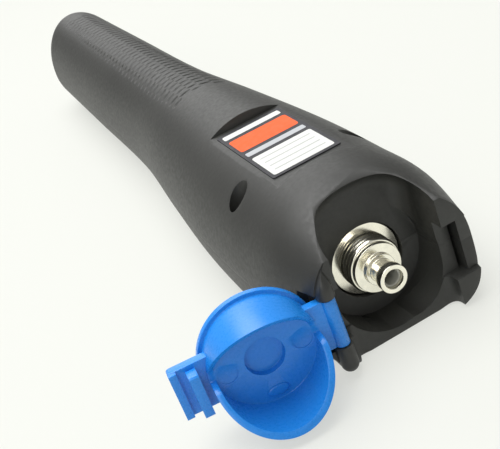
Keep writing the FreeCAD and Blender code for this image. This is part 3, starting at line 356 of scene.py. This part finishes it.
def half_body(name, side, inset=0.0, end_inset=0.0, grooves=False, columns=97):
    """Solid half of the body above or below the parting plane.  Grooves are a
    periodic dip along Y in narrow columns, every second column set back by half
    a pitch; they fade out beyond the grip's half width and towards the tail."""
    y, drawn = body_rows(inset, end_inset, grip_rows() if grooves else ())
    turn = np.linspace(0, np.pi, columns)
    rings = section_rings(y, drawn, turn, side)
    if grooves:
        place = rings[..., 0] / GRIP_COLUMN
        column = np.round(place)
        count = (rings[..., 1] - GRIP_FRONT_Y) / GRIP_PITCH - (column % 2) / 2
        inside = (count > -0.06) & (count < GRIP_COUNT - 0.5)
        along = (count - np.floor(count + 0.05)) * GRIP_PITCH
        dip = step(along, -0.1, 0.2) * (1 - step(along, GRIP_GROOVE - 0.2, GRIP_GROOVE + 0.1))
        share = np.clip(count / (GRIP_COUNT - 1), 0, 1)
        half = GRIP_HALF[0] + (GRIP_HALF[1] - GRIP_HALF[0]) * share
        across = 1 - step(np.abs(rings[..., 0]), half - 0.35, half + 0.35)
        across *= 1 - step(np.abs(place - column), 0.34, 0.46)
        rings[..., 2] -= GRIP_DEPTH * (1 - 0.45 * share) * dip * across * inside
    return tube_of(name, rings)


def hood_cutter():
    """Arched space over the nozzle: straight sides and a half ellipse, carried
    along Y and drawn in along a quarter circle at the back."""
    r, rise = ARCH_HALF_WIDTH, ARCH_APEX - ARCH_START
    turn = np.linspace(0, np.pi, 97)
    line = np.stack([r * np.cos(turn), AXIS_Z + ARCH_START + rise * np.sin(turn)], -1)
    normal = -np.stack([np.cos(turn) / r, np.sin(turn) / rise], -1)
    normal /= np.linalg.norm(normal, axis=1, keepdims=True)
    line = np.vstack([line, [(-r, AXIS_Z - 1), (r, AXIS_Z - 1)]])
    normal = np.vstack([normal, [(1, 0), (-1, 0)]])
    turn = np.linspace(0, np.pi / 2, 9)
    y = np.concatenate([[CUT_FRONT_Y + 1], BACK_WALL_Y - SCOOP_FILLET * (1 - np.sin(turn))])
    draw = np.concatenate([[0], SCOOP_FILLET * (1 - np.cos(turn))])
    rings = np.insert(line[None] + normal[None] * draw[:, None, None], 1, 0.0, axis=2)
    rings[..., 1] = y[:, None]
    return tube_of("hood", rings)


def swing_relief():
    """Space swept by the cap's bowl: its outline in radius and height,
    R = |(r cos t - hinge x, rim + slope r sin t)|, turned about the hinge."""
    radius, rim = CUP_RADIUS + SWING_CLEAR, BOWL_START + SWING_CLEAR
    turn = np.linspace(0, np.pi / 2, 25)
    drop = radius * np.sin(turn)
    reach = np.hypot(radius * np.cos(turn) - HINGE_X, rim + BOWL_SLOPE * drop)
    r = np.concatenate([reach, [-HINGE_X, -HINGE_X]])
    z = np.concatenate([AXIS_Z - drop, [AXIS_Z - radius, AXIS_Z]])
    phi = np.linspace(0, math.radians(60), 49)[:, None]
    sweep = tube_of("swing", np.stack([HINGE_X + r * np.cos(phi), HINGE_Y + r * np.sin(phi),
                                       z + 0 * phi], -1))
    up, down = 1, 12
    side = [(HINGE_Y - 1, AXIS_Z - down), (HINGE_Y - 1, AXIS_Z + up),
            (HINGE_Y + rim - BOWL_SLOPE * up, AXIS_Z + up),
            (HINGE_Y + rim + BOWL_SLOPE * down, AXIS_Z - down)]
    return combine(sweep, [prism("reached", side, 0, -REACH_X, REACH_X)], "INTERSECT")


def scoop_cutter():
    """Everything above the nose's sloping rim."""
    base, rear = AXIS_Z + SCOOP_APEX, 8
    side = [(y, base + SCOOP_SLOPE * y) for y in (CUT_FRONT_Y, rear)]
    side += [(rear, REACH_Z), (CUT_FRONT_Y, REACH_Z)]
    return prism("scoop", side, 0, -REACH_X, REACH_X)


def foot_cutter():
    """Rounds the front of the foot under the lower ear."""
    turn = np.linspace(0, np.pi / 2, 13)
    y, r = NOSE_Y + FOOT_ROUNDING, FOOT_ROUNDING
    side = [(NOSE_Y - 1, -1), (NOSE_Y - 1, r)]
    side += list(zip(y - r * np.cos(turn), r - r * np.sin(turn))) + [(y, -1)]
    return prism("foot", side, 0, -REACH_X, -TROUGH_RADIUS)


def nose_cutters():
    """The openings of both shells: the nose with its latch and hinge, and the
    button's seat and hole at the tail."""
    front, x = CUT_FRONT_Y, FOOT_INNER_X
    plan = rounded([(-x, front), (x, front), (x, TROUGH_FRONT_Y), (-x, TROUGH_FRONT_Y)],
                   [0.01, 0.01, 2.0, 2.0], 8)
    latch = (AXIS_Z - LATCH_DROP, AXIS_Z + LATCH_RISE)
    gap = (AXIS_Z - EAR_GAP, AXIS_Z + EAR_GAP)
    beside = (AXIS_Z - HINGE_SIDE_HALF, AXIS_Z + HINGE_SIDE_HALF)
    return [
        hood_cutter(),
        rod("pocket", TROUGH_RADIUS, front, BACK_WALL_Y, segments=160),
        scoop_cutter(),
        foot_cutter(),
        prism("between_feet", plan, 2, -1, AXIS_Z + 0.5),
        block("latch", LATCH_X, (front, EAR_ROOT_Y), latch),
        block("latch_slot", (LATCH_SLOT_X, LATCH_X[1]), (front, LATCH_SLOT_Y), latch),
        block("latch_skin", (LATCH_SLOT_X, REACH_X), (front, LATCH_SKIN_Y), latch),
        block("hinge_gap", (-REACH_X, HINGE_GAP_X), (front, EAR_ROOT_Y), gap),
        block("hinge_side", (-REACH_X, HINGE_SIDE_X), (front, HINGE_SIDE_Y), beside),
        rod("flange_seat", FLANGE_SEAT_RADIUS, BACK_WALL_Y - 1, FLANGE_SEAT_Y),
        rod("stem_hole", STEM_HOLE_RADIUS, 0, WALL_REAR_Y + 2),
        rod("button_seat", BUTTON_SEAT_RADIUS, BUTTON_ROOM_Y, TAIL_Y - END_WALL, z=BUTTON_Z),
        rod("button_hole", BUTTON_HOLE_RADIUS, BUTTON_ROOM_Y, TAIL_Y + 3, z=BUTTON_Z),
    ]


def room_cutter(side):
    """The hollow inside a shell, from behind the nose wall to the tail, clear of
    the label pan and the screw bosses."""
    room = half_body("room", side, WALL, END_WALL)
    slab = (AXIS_Z, REACH_Z) if side > 0 else (-REACH_Z, AXIS_Z)
    keep = block("keep", (-REACH_X, REACH_X), (WALL_REAR_Y, REACH_Y), slab)
    combine(room, [keep], "INTERSECT")
    solid = [post("boss", WELL_RADIUS + BOSS_WALL, -REACH_Z, REACH_Z, x, SCREW_Y)
             for x in (-SCREW_X, SCREW_X)]
    if side > 0:
        along = (RECESS_Y[0] - PAN_WALL, RECESS_Y[1] + PAN_WALL)
        solid.append(block("pan", (-PAN_HALF, PAN_HALF), along, (LABEL_Z - PAN_WALL, REACH_Z)))
    return combine(room, solid, "DIFFERENCE")


def ear(name, low, high):
    """Hinge knuckle: a half round front on a square root."""
    turn = np.linspace(np.pi, 2 * np.pi, EAR_STEPS)
    r = EAR_RADIUS
    plan = np.stack([HINGE_X + r * np.cos(turn), HINGE_Y + r * np.sin(turn)], -1)
    plan = np.vstack([plan, [(HINGE_X + r, EAR_ROOT_Y), (HINGE_X - r, EAR_ROOT_Y)]])
    return prism(name, plan, 2, low, high)


def upper_ear():
    """Knuckle that narrows and leans back towards the rim, and stays inside the
    cheek, x = width (1 - |z / crown| ** power) ** (1 / power) of the first station."""
    rows, narrowing, lean, skin = 12, 0.55, 1.1, 0.25
    turn = np.linspace(np.pi, 2 * np.pi, EAR_STEPS)
    up = np.linspace(0, 1, rows)[:, None]
    r = EAR_RADIUS * (1 - narrowing * step(up, 0.25, 1.0))
    x = HINGE_X + r * np.cos(turn)
    y = HINGE_Y + lean * step(up, 0.2, 1.0) + r * np.sin(turn)
    z = AXIS_Z + EAR_GAP + (ARCH_APEX - EAR_GAP - 5) * up
    root = [(HINGE_X + EAR_RADIUS, EAR_ROOT_Y), (HINGE_X - EAR_RADIUS, EAR_ROOT_Y)]
    plan = np.concatenate([np.stack([x, y], -1), np.broadcast_to(root, (rows, 2, 2))], 1)
    width, crown, power = STATIONS[0, 1:4]
    cheek = width * (1 - ((z - AXIS_Z) / crown) ** power) ** (1 / power)
    plan[..., 0] = np.maximum(plan[..., 0], skin - cheek)
    level = np.broadcast_to(z[:, :, None], (*plan.shape[:2], 1))
    return combine(tube_of("upper_ear", np.concatenate([plan, level], -1)), [scoop_cutter()], "DIFFERENCE")


def lower_ear():
    """Knuckle that ends below in a half ball."""
    turn = np.linspace(0, 1.5, 14)[:, None]
    r = np.vstack([[[EAR_RADIUS * 0.98]], EAR_RADIUS * np.cos(turn)])
    z = EAR_BOTTOM + np.vstack([[[0.4]], -EAR_RADIUS * np.sin(turn)])
    a = np.linspace(0, 2 * np.pi, 64, endpoint=False)
    ball = np.stack([HINGE_X + r * np.cos(a), HINGE_Y + r * np.sin(a), z + 0 * a], -1)
    return combine(ear("lower_ear", EAR_BOTTOM, AXIS_Z - EAR_GAP), [tube_of("tip", ball)], "UNION")


def sheets(name, plans, low, high):
    """Thin printed fields: every plan becomes a closed slab of one mesh."""
    points, faces = [], []
    for plan in plans:
        n, first = len(plan), len(points)
        points += [(x, y, z) for z in (low, high) for x, y in plan]
        faces.append([first + i for i in range(n)][::-1])
        faces.append([first + n + i for i in range(n)])
        faces += [[first + i, first + (i + 1) % n, first + n + (i + 1) % n, first + n + i]
                  for i in range(n)]
    return outward(piece_from(name, points, faces))


def band(half, y1, y2, radius):
    """Outline of a printed field from -half to half across the label."""
    return rounded([(-half, y1), (half, y1), (half, y2), (-half, y2)], [radius] * 4)


# -------------------------------------------------------------- materials

def shader(name):
    """New material with its nodes, links and main shader."""
    material = bpy.data.materials.new(name)
    material.use_nodes = True
    nodes, links = material.node_tree.nodes, material.node_tree.links
    return material, nodes, links, nodes["Principled BSDF"]


def noise(nodes, links, coords, scale, detail=3.0, roughness=0.55):
    node = nodes.new("ShaderNodeTexNoise")
    node.inputs["Scale"].default_value = scale
    node.inputs["Detail"].default_value = detail
    node.inputs["Roughness"].default_value = roughness
    links.new(coords, node.inputs["Vector"])
    return node.outputs["Fac"]


def ramp(nodes, links, value, stops):
    node = nodes.new("ShaderNodeValToRGB")
    links.new(value, node.inputs["Fac"])
    elements = node.color_ramp.elements
    while len(elements) < len(stops):
        elements.new(0.5)
    for element, (place, colour) in zip(elements, stops):
        element.position = place
        element.color = (*colour, 1.0)
    return node.outputs["Color"]


def grey(value):
    return (value, value, value)


def tint(colour, share):
    return tuple(min(1.0, c * share) for c in colour[:3])


def moulded(name, colour, rough=0.45, grain=1400.0, bump=0.12, spread=0.12, specular=0.5):
    """Moulded plastic: a fine spark-eroded grain, faint flow marks in the colour
    and a roughness that wanders with them."""
    material, nodes, links, main = shader(name)
    coords = nodes.new("ShaderNodeTexCoord").outputs["Object"]
    flow = noise(nodes, links, coords, 55.0, 4.0)
    base = ramp(nodes, links, flow, [(0.3, tint(colour, 1 - spread)), (0.7, tint(colour, 1 + spread))])
    links.new(base, main.inputs["Base Color"])
    fine = noise(nodes, links, coords, grain, 2.0)
    rough_map = ramp(nodes, links, fine, [(0.3, grey(rough - 0.05)), (0.7, grey(rough + 0.07))])
    links.new(rough_map, main.inputs["Roughness"])
    node = nodes.new("ShaderNodeBump")
    node.inputs["Strength"].default_value = bump
    node.inputs["Distance"].default_value = 0.00008
    links.new(fine, node.inputs["Height"])
    links.new(node.outputs["Normal"], main.inputs["Normal"])
    main.inputs["Specular IOR Level"].default_value = specular
    return material


def metal(name, colour, rough=0.2, brushed=(1, 1, 1), scale=900.0, bump=0.05, spread=0.06):
    """Turned or rolled metal: fine marks stretched along one direction."""
    material, nodes, links, main = shader(name)
    coords = nodes.new("ShaderNodeTexCoord").outputs["Object"]
    mapping = nodes.new("ShaderNodeMapping")
    mapping.inputs["Scale"].default_value = brushed
    links.new(coords, mapping.inputs["Vector"])
    marks = noise(nodes, links, mapping.outputs["Vector"], scale, 3.0)
    base = ramp(nodes, links, marks, [(0.3, tint(colour, 1 - spread)), (0.7, tint(colour, 1 + spread))])
    links.new(base, main.inputs["Base Color"])
    rough_map = ramp(nodes, links, marks, [(0.3, grey(rough * 0.8)), (0.7, grey(rough * 1.25))])
    links.new(rough_map, main.inputs["Roughness"])
    main.inputs["Metallic"].default_value = 1.0
    node = nodes.new("ShaderNodeBump")
    node.inputs["Strength"].default_value = bump
    node.inputs["Distance"].default_value = 0.00003
    links.new(marks, node.inputs["Height"])
    links.new(node.outputs["Normal"], main.inputs["Normal"])
    return material


# --------------------------------------------------------------- settings

def colour_property(name, description, default):
    return bpy.props.FloatVectorProperty(name=name, description=description, default=default,
                                         subtype="COLOR", size=3, min=0.0, max=1.0)


class CaseSettings(bpy.types.PropertyGroup):
    plastic: colour_property("Case", "Colour of the moulded case", (0.020, 0.0205, 0.018))
    button: colour_property("Button", "Colour of the tail button", (0.30, 0.02, 0.02))
    edge: bpy.props.FloatProperty(name="Edge", description="Rounding of the case's edges in millimetres",
                                  default=0.25, min=0.02, max=0.6)


class CapSettings(bpy.types.PropertyGroup):
    plastic: colour_property("Cap", "Colour of the dust cap", (0.014, 0.215, 0.68))
    edge: bpy.props.FloatProperty(name="Edge", description="Rounding of the cap's edges in millimetres",
                                  default=0.18, min=0.02, max=0.5)


class AdapterSettings(bpy.types.PropertyGroup):
    plate: colour_property("Plating", "Colour of the adapter's plating", (0.93, 0.90, 0.78))
    roughness: bpy.props.FloatProperty(name="Roughness", description="Roughness of the turned metal",
                                       default=0.18, min=0.02, max=0.8)


class LabelSettings(bpy.types.PropertyGroup):
    dark: colour_property("Dark field", "Colour of the label's dark fields", (0.03, 0.03, 0.035))
    pale: colour_property("Pale field", "Colour of the label's pale fields", (0.62, 0.63, 0.60))
    signal: colour_property("Signal field", "Colour of the bright band", (0.80, 0.10, 0.02))


class StageSettings(bpy.types.PropertyGroup):
    floor: colour_property("Floor", "Colour of the table top", (0.60, 0.61, 0.57))
    power: bpy.props.FloatProperty(name="Key light", description="Power of the overhead panel in watts",
                                   default=8.5, min=0.0, max=60.0, subtype="POWER")


def settings(context):
    return [getattr(context.scene, name) for name in GROUPS]


class PieceOperator:
    """Shared by the operators that build one piece or group."""
    bl_options = {"REGISTER", "UNDO"}

    def execute(self, context):
        self.build(*settings(context))
        return {"FINISHED"}


class LOCATOR_OT_case(PieceOperator, bpy.types.Operator):
    """Two moulded shells with the open nose, label recess, screw wells and grip"""
    bl_idname = "locator.case"
    bl_label = "Case shells"

    def build(self, case, cap, adapter, label, stage):
        plastic = moulded("case_plastic", case.plastic, 0.48, specular=0.55)
        across = (-REACH_X, REACH_X)
        for side, name, node in ((1, "case_top", "upper_shell"), (-1, "case_bottom", "lower_shell")):
            shell = half_body(name, side, grooves=side > 0)
            combine(shell, [room_cutter(side)], "DIFFERENCE")
            cutters = nose_cutters()
            for x in (-SCREW_X, SCREW_X):
                hole = (SHANK_HOLE, 0) if side > 0 else (THREAD_HOLE, THREAD_HOLE_Z)
                cutters.append(post("shank_hole", *hole, REACH_Z, x, SCREW_Y))
            if side > 0:
                cutters.append(block("recess", across, RECESS_Y, (LABEL_Z, REACH_Z)))
                for x in (-SCREW_X, SCREW_X):
                    cutters.append(post("well", WELL_RADIUS, SCREW_SEAT_Z, REACH_Z, x, SCREW_Y))
            else:
                cutters.append(swing_relief())
                cutters.append(block("sole", across, (-REACH_Y, REACH_Y), (-REACH_Z, 0)))
                cutters.append(block("door_gap", across, (DOOR_FRONT_Y, REACH_Y), (-REACH_Z, DOOR_TOP)))
            combine(shell, cutters, "DIFFERENCE")
            combine(shell, [upper_ear() if side > 0 else lower_ear()], "UNION")
            soften(shell, case.edge)
            fit_to(shell, "case", [node], "case_plastic", plastic)


class LOCATOR_OT_cap(PieceOperator, bpy.types.Operator):
    """Hinged dust cap: cup, strap, snap tab"""
    bl_idname = "locator.cap"
    bl_label = "Dust cap"

    def build(self, case, cap, adapter, label, stage):
        y, z = HINGE_Y, AXIS_Z
        corners = [(CUP_FRONT, 0), (CUP_FRONT, CUP_BORE), (RIM_FRONT, CUP_BORE), (RIM_FRONT, RIM_RADIUS),
                   (RIM_REAR, RIM_RADIUS), (RIM_REAR, CUP_RADIUS), (CUP_REAR, CUP_RADIUS),
                   (CUP_REAR, CUP_BORE), (CUP_FLOOR, CUP_BORE), (CUP_FLOOR, POCKET_RADIUS),
                   (POCKET_FLOOR, POCKET_RADIUS), (POCKET_FLOOR, 0)]
        cup = turned("dust_cap_shell", [(y + at, r) for at, r in corners], segments=144)
        side = rounded([(y - 5, z - 12), (y + BOWL_START + 12 * BOWL_SLOPE, z - 12), (y + BOWL_START, z),
                        (y + CUP_FLOOR, z + 0.01), (y + CUP_FLOOR, z + 1.65), (y + 9.2, z + 12),
                        (y - 5, z + 12)],
                       [0.1, 0.1, 1.2, 0.3, 1.0, 0.1, 0.1], 7)
        combine(cup, [prism("rims", side, 0, -REACH_X, REACH_X)], "INTERSECT")
        tall, barrel = (z - TAB_HALF, z + TAB_HALF), (z - BARREL_HALF, z + BARREL_HALF)
        edge_x = HINGE_X + TAB_EDGE_X
        snap_x = [HINGE_X + at for at in SNAP_X]
        parts = [
            post("barrel", BARREL_RADIUS, *barrel, HINGE_X, y),
            block("strap", (HINGE_X, HINGE_X + 4), (y - 1.1, y + CUP_FLOOR), barrel),
            block("tab", (HINGE_X + TAB_X, edge_x), (y - 1.5, y), tall, 0.6, 1),
            block("snap", snap_x, (y - 0.1, y + SNAP_REAR), (tall[0], z + SNAP_RISE), 0.7, 0),
            block("edge", (edge_x - TAB_EDGE, edge_x), (y - 0.1, y + 0.8), tall, 0.3, 0),
        ]
        combine(cup, parts, "UNION")
        holes = [rod("mark", MARK_RADIUS, y + MARK_FLOOR, y + 2, x=x, segments=48)
                 for x in (-MARK_X, MARK_X)]
        holes.append(post("pin_hole", PIN_HOLE_RADIUS, 0, REACH_Z, HINGE_X, y, 32))
        combine(cup, holes, "DIFFERENCE")
        a = np.linspace(0, 2 * np.pi, 48, endpoint=False)
        oval = [GATE_HALF[0] * np.cos(a), GATE_HALF[1] * np.sin(a)]
        rings = [np.stack([share * oval[0], y + at + 0 * a, z - GATE_DROP + share * oval[1]], -1)
                 for share, at in GATE_RINGS]
        combine(cup, [tube_of("gate", np.array(rings))], "UNION")
        soften(cup, cap.edge, 2, 30)
        swung_open(cup)
        plastic = moulded("cap_plastic", cap.plastic, 0.28, 1800.0, 0.04, 0.05)
        fit_to(cup, "cap", ["dust_cap"], "cap_plastic", plastic)


class LOCATOR_OT_adapter(PieceOperator, bpy.types.Operator):
    """Turned ferrule adapter and its ceramic sleeve"""
    bl_idname = "locator.adapter"
    bl_label = "Ferrule adapter"

    def build(self, case, cap, adapter, label, stage):
        bore, front, rear = ADAPTER_BORE, NOZZLE_FRONT_Y, STEM_REAR_Y
        profile = [(front, bore), (front, NOZZLE_LIP), (-7.25, NOZZLE_LIP), (-7.25, NOZZLE_NECK),
                   (-5.0, NOZZLE_NECK), (-5.0, 2.6), (-4.2, 2.6), (-4.2, 4.1), (THREAD_FRONT_Y, 4.1)]
        for i in range(THREAD_TURNS):
            y = THREAD_FRONT_Y + THREAD_PITCH * i
            profile += [(y, THREAD_ROOT), (y + THREAD_PITCH / 2, THREAD_CREST)]
        profile += [(0, THREAD_ROOT), (0, FLANGE_RADIUS), (FLANGE_SEAT_Y, FLANGE_RADIUS),
                    (FLANGE_SEAT_Y, STEM_RADIUS), (rear, STEM_RADIUS), (rear, bore)]
        nozzle = smooth(turned("nozzle", profile, radius=0.1, segments=128), 40)
        plate = metal("plated_metal", adapter.plate, adapter.roughness, (1, 8, 1), 700.0)
        fit_to(nozzle, "case", ["ferrule_adapter"], "plated_metal", plate)
        front, rear = SLEEVE_Y
        ring = turned("sleeve", [(front, SLEEVE_BORE), (front, SLEEVE_RADIUS), (rear, SLEEVE_RADIUS),
                                 (rear, SLEEVE_BORE)], radius=0.06)
        slit = block("slit", (-SLEEVE_SLIT / 2, SLEEVE_SLIT / 2), (-9, 4), (AXIS_Z, AXIS_Z + 3))
        combine(ring, [slit], "DIFFERENCE")
        smooth(ring, 35)
        # Sleeve coloured mid grey, not the near white of real ceramic: painted shade for the dark inside
        # of the nozzle's bore.
        ceramic = moulded("sleeve_ceramic", (0.34, 0.34, 0.30), 0.16, 600.0, 0.0, 0.02)
        fit_to(ring, "case", ["alignment_sleeve"], "sleeve_ceramic", ceramic)


class LOCATOR_OT_trim(PieceOperator, bpy.types.Operator):
    """Tail button and the screws' finish"""
    bl_idname = "locator.trim"
    bl_label = "Button and screws"

    def build(self, case, cap, adapter, label, stage):
        metal("screw_steel", (0.035, 0.035, 0.037), 0.5, (1, 1, 1), 500.0, 0.1, 0.2)
        button = turned("tail_button", [(160.65, 0), (160.65, 5.4), (162.25, 5.4), (162.25, 4.2),
                                        (165.2, 4.2), (165.2, 3.2), (164.9, 2.4), (164.8, 0)],
                        z=BUTTON_Z, radius=0.45, segments=96, steps=6)
        smooth(button, 40)
        rubber = moulded("button_plastic", case.button, 0.5, 1200.0, 0.1)
        fit_to(button, "button", ["power_button"], "button_plastic", rubber)


class LOCATOR_OT_label(PieceOperator, bpy.types.Operator):
    """Label plate with plain crosswise bands of colour"""
    bl_idname = "locator.label"
    bl_label = "Label"

    def build(self, case, cap, adapter, label, stage):
        top, half = LABEL_Z + LABEL_THICK, PRINT_HALF
        plate = prism("label", band(LABEL_HALF, *LABEL_Y, 0.4), 2, LABEL_Z, top)
        pale = [band(half, 11.2, 20.4, 0.5), band(half, 31.6, 33.4, 0.4)]
        lines = [band(half - 0.9, y - 0.15, y + 0.15, 0.1) for y in (13.0, 14.9, 16.8, 18.7)]
        inks = {
            "pale": (label.pale, pale, 0.02),
            "silver": ((0.42, 0.43, 0.45), [band(half, 21.6, 23.2, 0.3)], 0.02),
            "lines": ((0.40, 0.41, 0.40), lines, 0.04),
            "signal": (label.signal, [band(half, 24.4, 30.4, 0.6)], 0.02),
        }
        dark = moulded("label_film", label.dark, 0.55, 900.0, 0.03, 0.05, 0.3)
        fit_to(smooth(plate), "case", ["label_plate"], "label_film", dark)
        for ink, (colour, plans, lift) in inks.items():
            fields = sheets("label_" + ink, plans, top - PRINT_SUNK, top + lift)
            film = moulded("label_" + ink, colour, 0.55, 900.0, 0.02, 0.04, 0.25)
            fit_to(smooth(fields), "case", [], "label_film", film)


CAD_FINISHES = {
    "hinge_pin": "steel", "laser_housing": "turned_aluminium", "lens_retainer": "black_aluminium",
    "laser_diode": "gold_plate", "circuit_board": "board_green", "board_screws": "steel",
    "driver_chip": "chip_black", "trim_potentiometer": "trimmer_blue",
    "smoothing_capacitor": "can_aluminium", "front_contact": "contact_brass",
    "battery_front": "battery_wrap", "battery_rear": "battery_wrap", "tail_spring": "steel",
    "contact_strip": "contact_brass", "switch_board": "board_green", "tail_switch": "chip_black",
    "switch_plunger": "plunger_plastic", "case_screws": "screw_steel", "focusing_lens": "lens_glass",
    "battery_door": "case_plastic",
}


class LOCATOR_OT_inside(PieceOperator, bpy.types.Operator):
    """Finishes for the pieces that keep the CAD's shapes: the inside and the door"""
    bl_idname = "locator.inside"
    bl_label = "Inner pieces"

    def build(self, case, cap, adapter, label, stage):
        made = {
            "steel": metal("steel", (0.60, 0.60, 0.61), 0.28, (1, 1, 6)),
            "turned_aluminium": metal("turned_aluminium", (0.72, 0.72, 0.74), 0.3, (1, 9, 1)),
            "black_aluminium": metal("black_aluminium", (0.05, 0.05, 0.055), 0.35, (1, 9, 1)),
            "gold_plate": metal("gold_plate", (0.85, 0.65, 0.28), 0.2),
            "can_aluminium": metal("can_aluminium", (0.70, 0.70, 0.72), 0.25, (1, 1, 5)),
            "contact_brass": metal("contact_brass", (0.78, 0.58, 0.26), 0.3, (1, 6, 1)),
            "board_green": moulded("board_green", (0.02, 0.16, 0.06), 0.3, 500.0, 0.08),
            "chip_black": moulded("chip_black", (0.025, 0.025, 0.025), 0.5),
            "trimmer_blue": moulded("trimmer_blue", (0.05, 0.14, 0.45), 0.3),
            "battery_wrap": moulded("battery_wrap", (0.07, 0.08, 0.10), 0.25, 300.0, 0.02),
            "plunger_plastic": moulded("plunger_plastic", (0.08, 0.08, 0.08), 0.4),
        }
        glass, nodes, links, main = shader("lens_glass")
        main.inputs["Transmission Weight"].default_value = 1.0
        main.inputs["Roughness"].default_value = 0.02
        main.inputs["IOR"].default_value = 1.52
        made["lens_glass"] = glass
        for node, slot in CAD_FINISHES.items():
            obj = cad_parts.get(node)
            if obj is None or obj.hide_render:
                continue
            material = made.get(slot) or bpy.data.materials[slot]
            obj.data.materials.clear()
            obj.data.materials.append(material)


class LOCATOR_OT_stage(PieceOperator, bpy.types.Operator):
    """Table top, camera, soft light panels and surroundings"""
    bl_idname = "locator.stage"
    bl_label = "Table, camera and lights"

    def build(self, case, cap, adapter, label, stage):
        floor = prism("table", [(-2000, -2000), (2000, -2000), (2000, 2000), (-2000, 2000)],
                      2, -20, -0.05)
        material, nodes, links, main = shader("table_top")
        main.inputs["Base Color"].default_value = (*stage.floor, 1)
        main.inputs["Roughness"].default_value = 0.7
        glow = nodes.new("ShaderNodeEmission")
        glow.inputs["Color"].default_value = (0.93, 0.94, 0.89, 1)
        mix = nodes.new("ShaderNodeMixShader")
        rays = nodes.new("ShaderNodeLightPath").outputs
        seen = rays["Is Camera Ray"]
        for kind in ("Is Glossy Ray", "Is Transmission Ray"):
            either = nodes.new("ShaderNodeMath")
            either.operation = "MAXIMUM"
            links.new(seen, either.inputs[0])
            links.new(rays[kind], either.inputs[1])
            seen = either.outputs[0]
        share = nodes.new("ShaderNodeMath")
        share.operation = "MULTIPLY"
        share.inputs[1].default_value = 0.62
        links.new(seen, share.inputs[0])
        links.new(share.outputs[0], mix.inputs["Fac"])
        links.new(main.outputs[0], mix.inputs[1])
        links.new(glow.outputs[0], mix.inputs[2])
        links.new(mix.outputs[0], nodes["Material Output"].inputs["Surface"])
        floor.data.materials.append(material)

        world = bpy.data.worlds.new("studio")
        bpy.context.scene.world = world
        world.use_nodes = True
        back = world.node_tree.nodes["Background"]
        back.inputs["Color"].default_value = (1.0, 1.0, 0.98, 1)
        back.inputs["Strength"].default_value = 0.38

        for name, place, size, watts in (("overhead", (-0.10, 0.15, 0.75), 0.9, stage.power),
                                         ("front", (-0.45, -0.60, 0.55), 0.6, stage.power * 0.25),
                                         ("back", (0.15, 1.10, 0.62), 0.9, stage.power * 0.38)):
            light = bpy.data.lights.new(name, "AREA")
            light.shape, light.size, light.energy = "DISK", size, watts
            lamp = bpy.data.objects.new(name, light)
            lamp.location = place
            lamp.rotation_euler = (-Vector(place)).to_track_quat("-Z", "Y").to_euler()
            bpy.context.collection.objects.link(lamp)

        camera = bpy.data.cameras.new("camera")
        camera.sensor_width, camera.lens = SENSOR_WIDTH, FOCAL_LENGTH
        camera.clip_start = 0.01
        eye = bpy.data.objects.new("camera", camera)
        turn, lift, roll = (math.radians(v) for v in (CAMERA_TURN, CAMERA_LIFT, CAMERA_ROLL))
        level = math.cos(lift)
        backward = np.array([math.sin(turn) * level, -math.cos(turn) * level, math.sin(lift)])
        right = np.array([math.cos(turn), math.sin(turn), 0.0])
        up = np.cross(backward, right)
        rolled_right = math.cos(roll) * right + math.sin(roll) * up
        rolled_up = math.cos(roll) * up - math.sin(roll) * right
        pose = Matrix(np.column_stack([rolled_right, rolled_up, backward]).tolist()).to_4x4()
        pose.translation = CAMERA_PLACE
        eye.matrix_world = pose
        bpy.context.collection.objects.link(eye)
        bpy.context.scene.camera = eye
        bpy.context.scene.view_settings.view_transform = "Standard"


class LOCATOR_PT_panel(bpy.types.Panel):
    """Lists the pieces and their settings"""
    bl_idname = "LOCATOR_PT_panel"
    bl_label = "Fault locator"
    bl_space_type = "VIEW_3D"
    bl_region_type = "UI"
    bl_category = "Fault locator"

    def draw(self, context):
        for group in settings(context):
            for name in group.__annotations__:
                self.layout.prop(group, name)
        for operator in OPERATORS:
            self.layout.operator(operator.bl_idname)


GROUPS = {"locator_case": CaseSettings, "locator_cap": CapSettings,
          "locator_adapter": AdapterSettings, "locator_label": LabelSettings,
          "locator_stage": StageSettings}
OPERATORS = (LOCATOR_OT_case, LOCATOR_OT_cap, LOCATOR_OT_adapter,
             LOCATOR_OT_trim, LOCATOR_OT_label, LOCATOR_OT_inside, LOCATOR_OT_stage)


def register():
    for cls in (*GROUPS.values(), *OPERATORS, LOCATOR_PT_panel):
        bpy.utils.register_class(cls)
    for name, cls in GROUPS.items():
        setattr(bpy.types.Scene, name, bpy.props.PointerProperty(type=cls))


def unregister():
    for name in GROUPS:
        delattr(bpy.types.Scene, name)
    for cls in (LOCATOR_PT_panel, *OPERATORS[::-1], *list(GROUPS.values())[::-1]):
        bpy.utils.unregister_class(cls)


def main():
    register()
    for operator in OPERATORS:
        group, name = operator.bl_idname.split(".")
        getattr(getattr(bpy.ops, group), name)()
    bpy.context.view_layer.update()


if __name__ == "__main__":
    main()
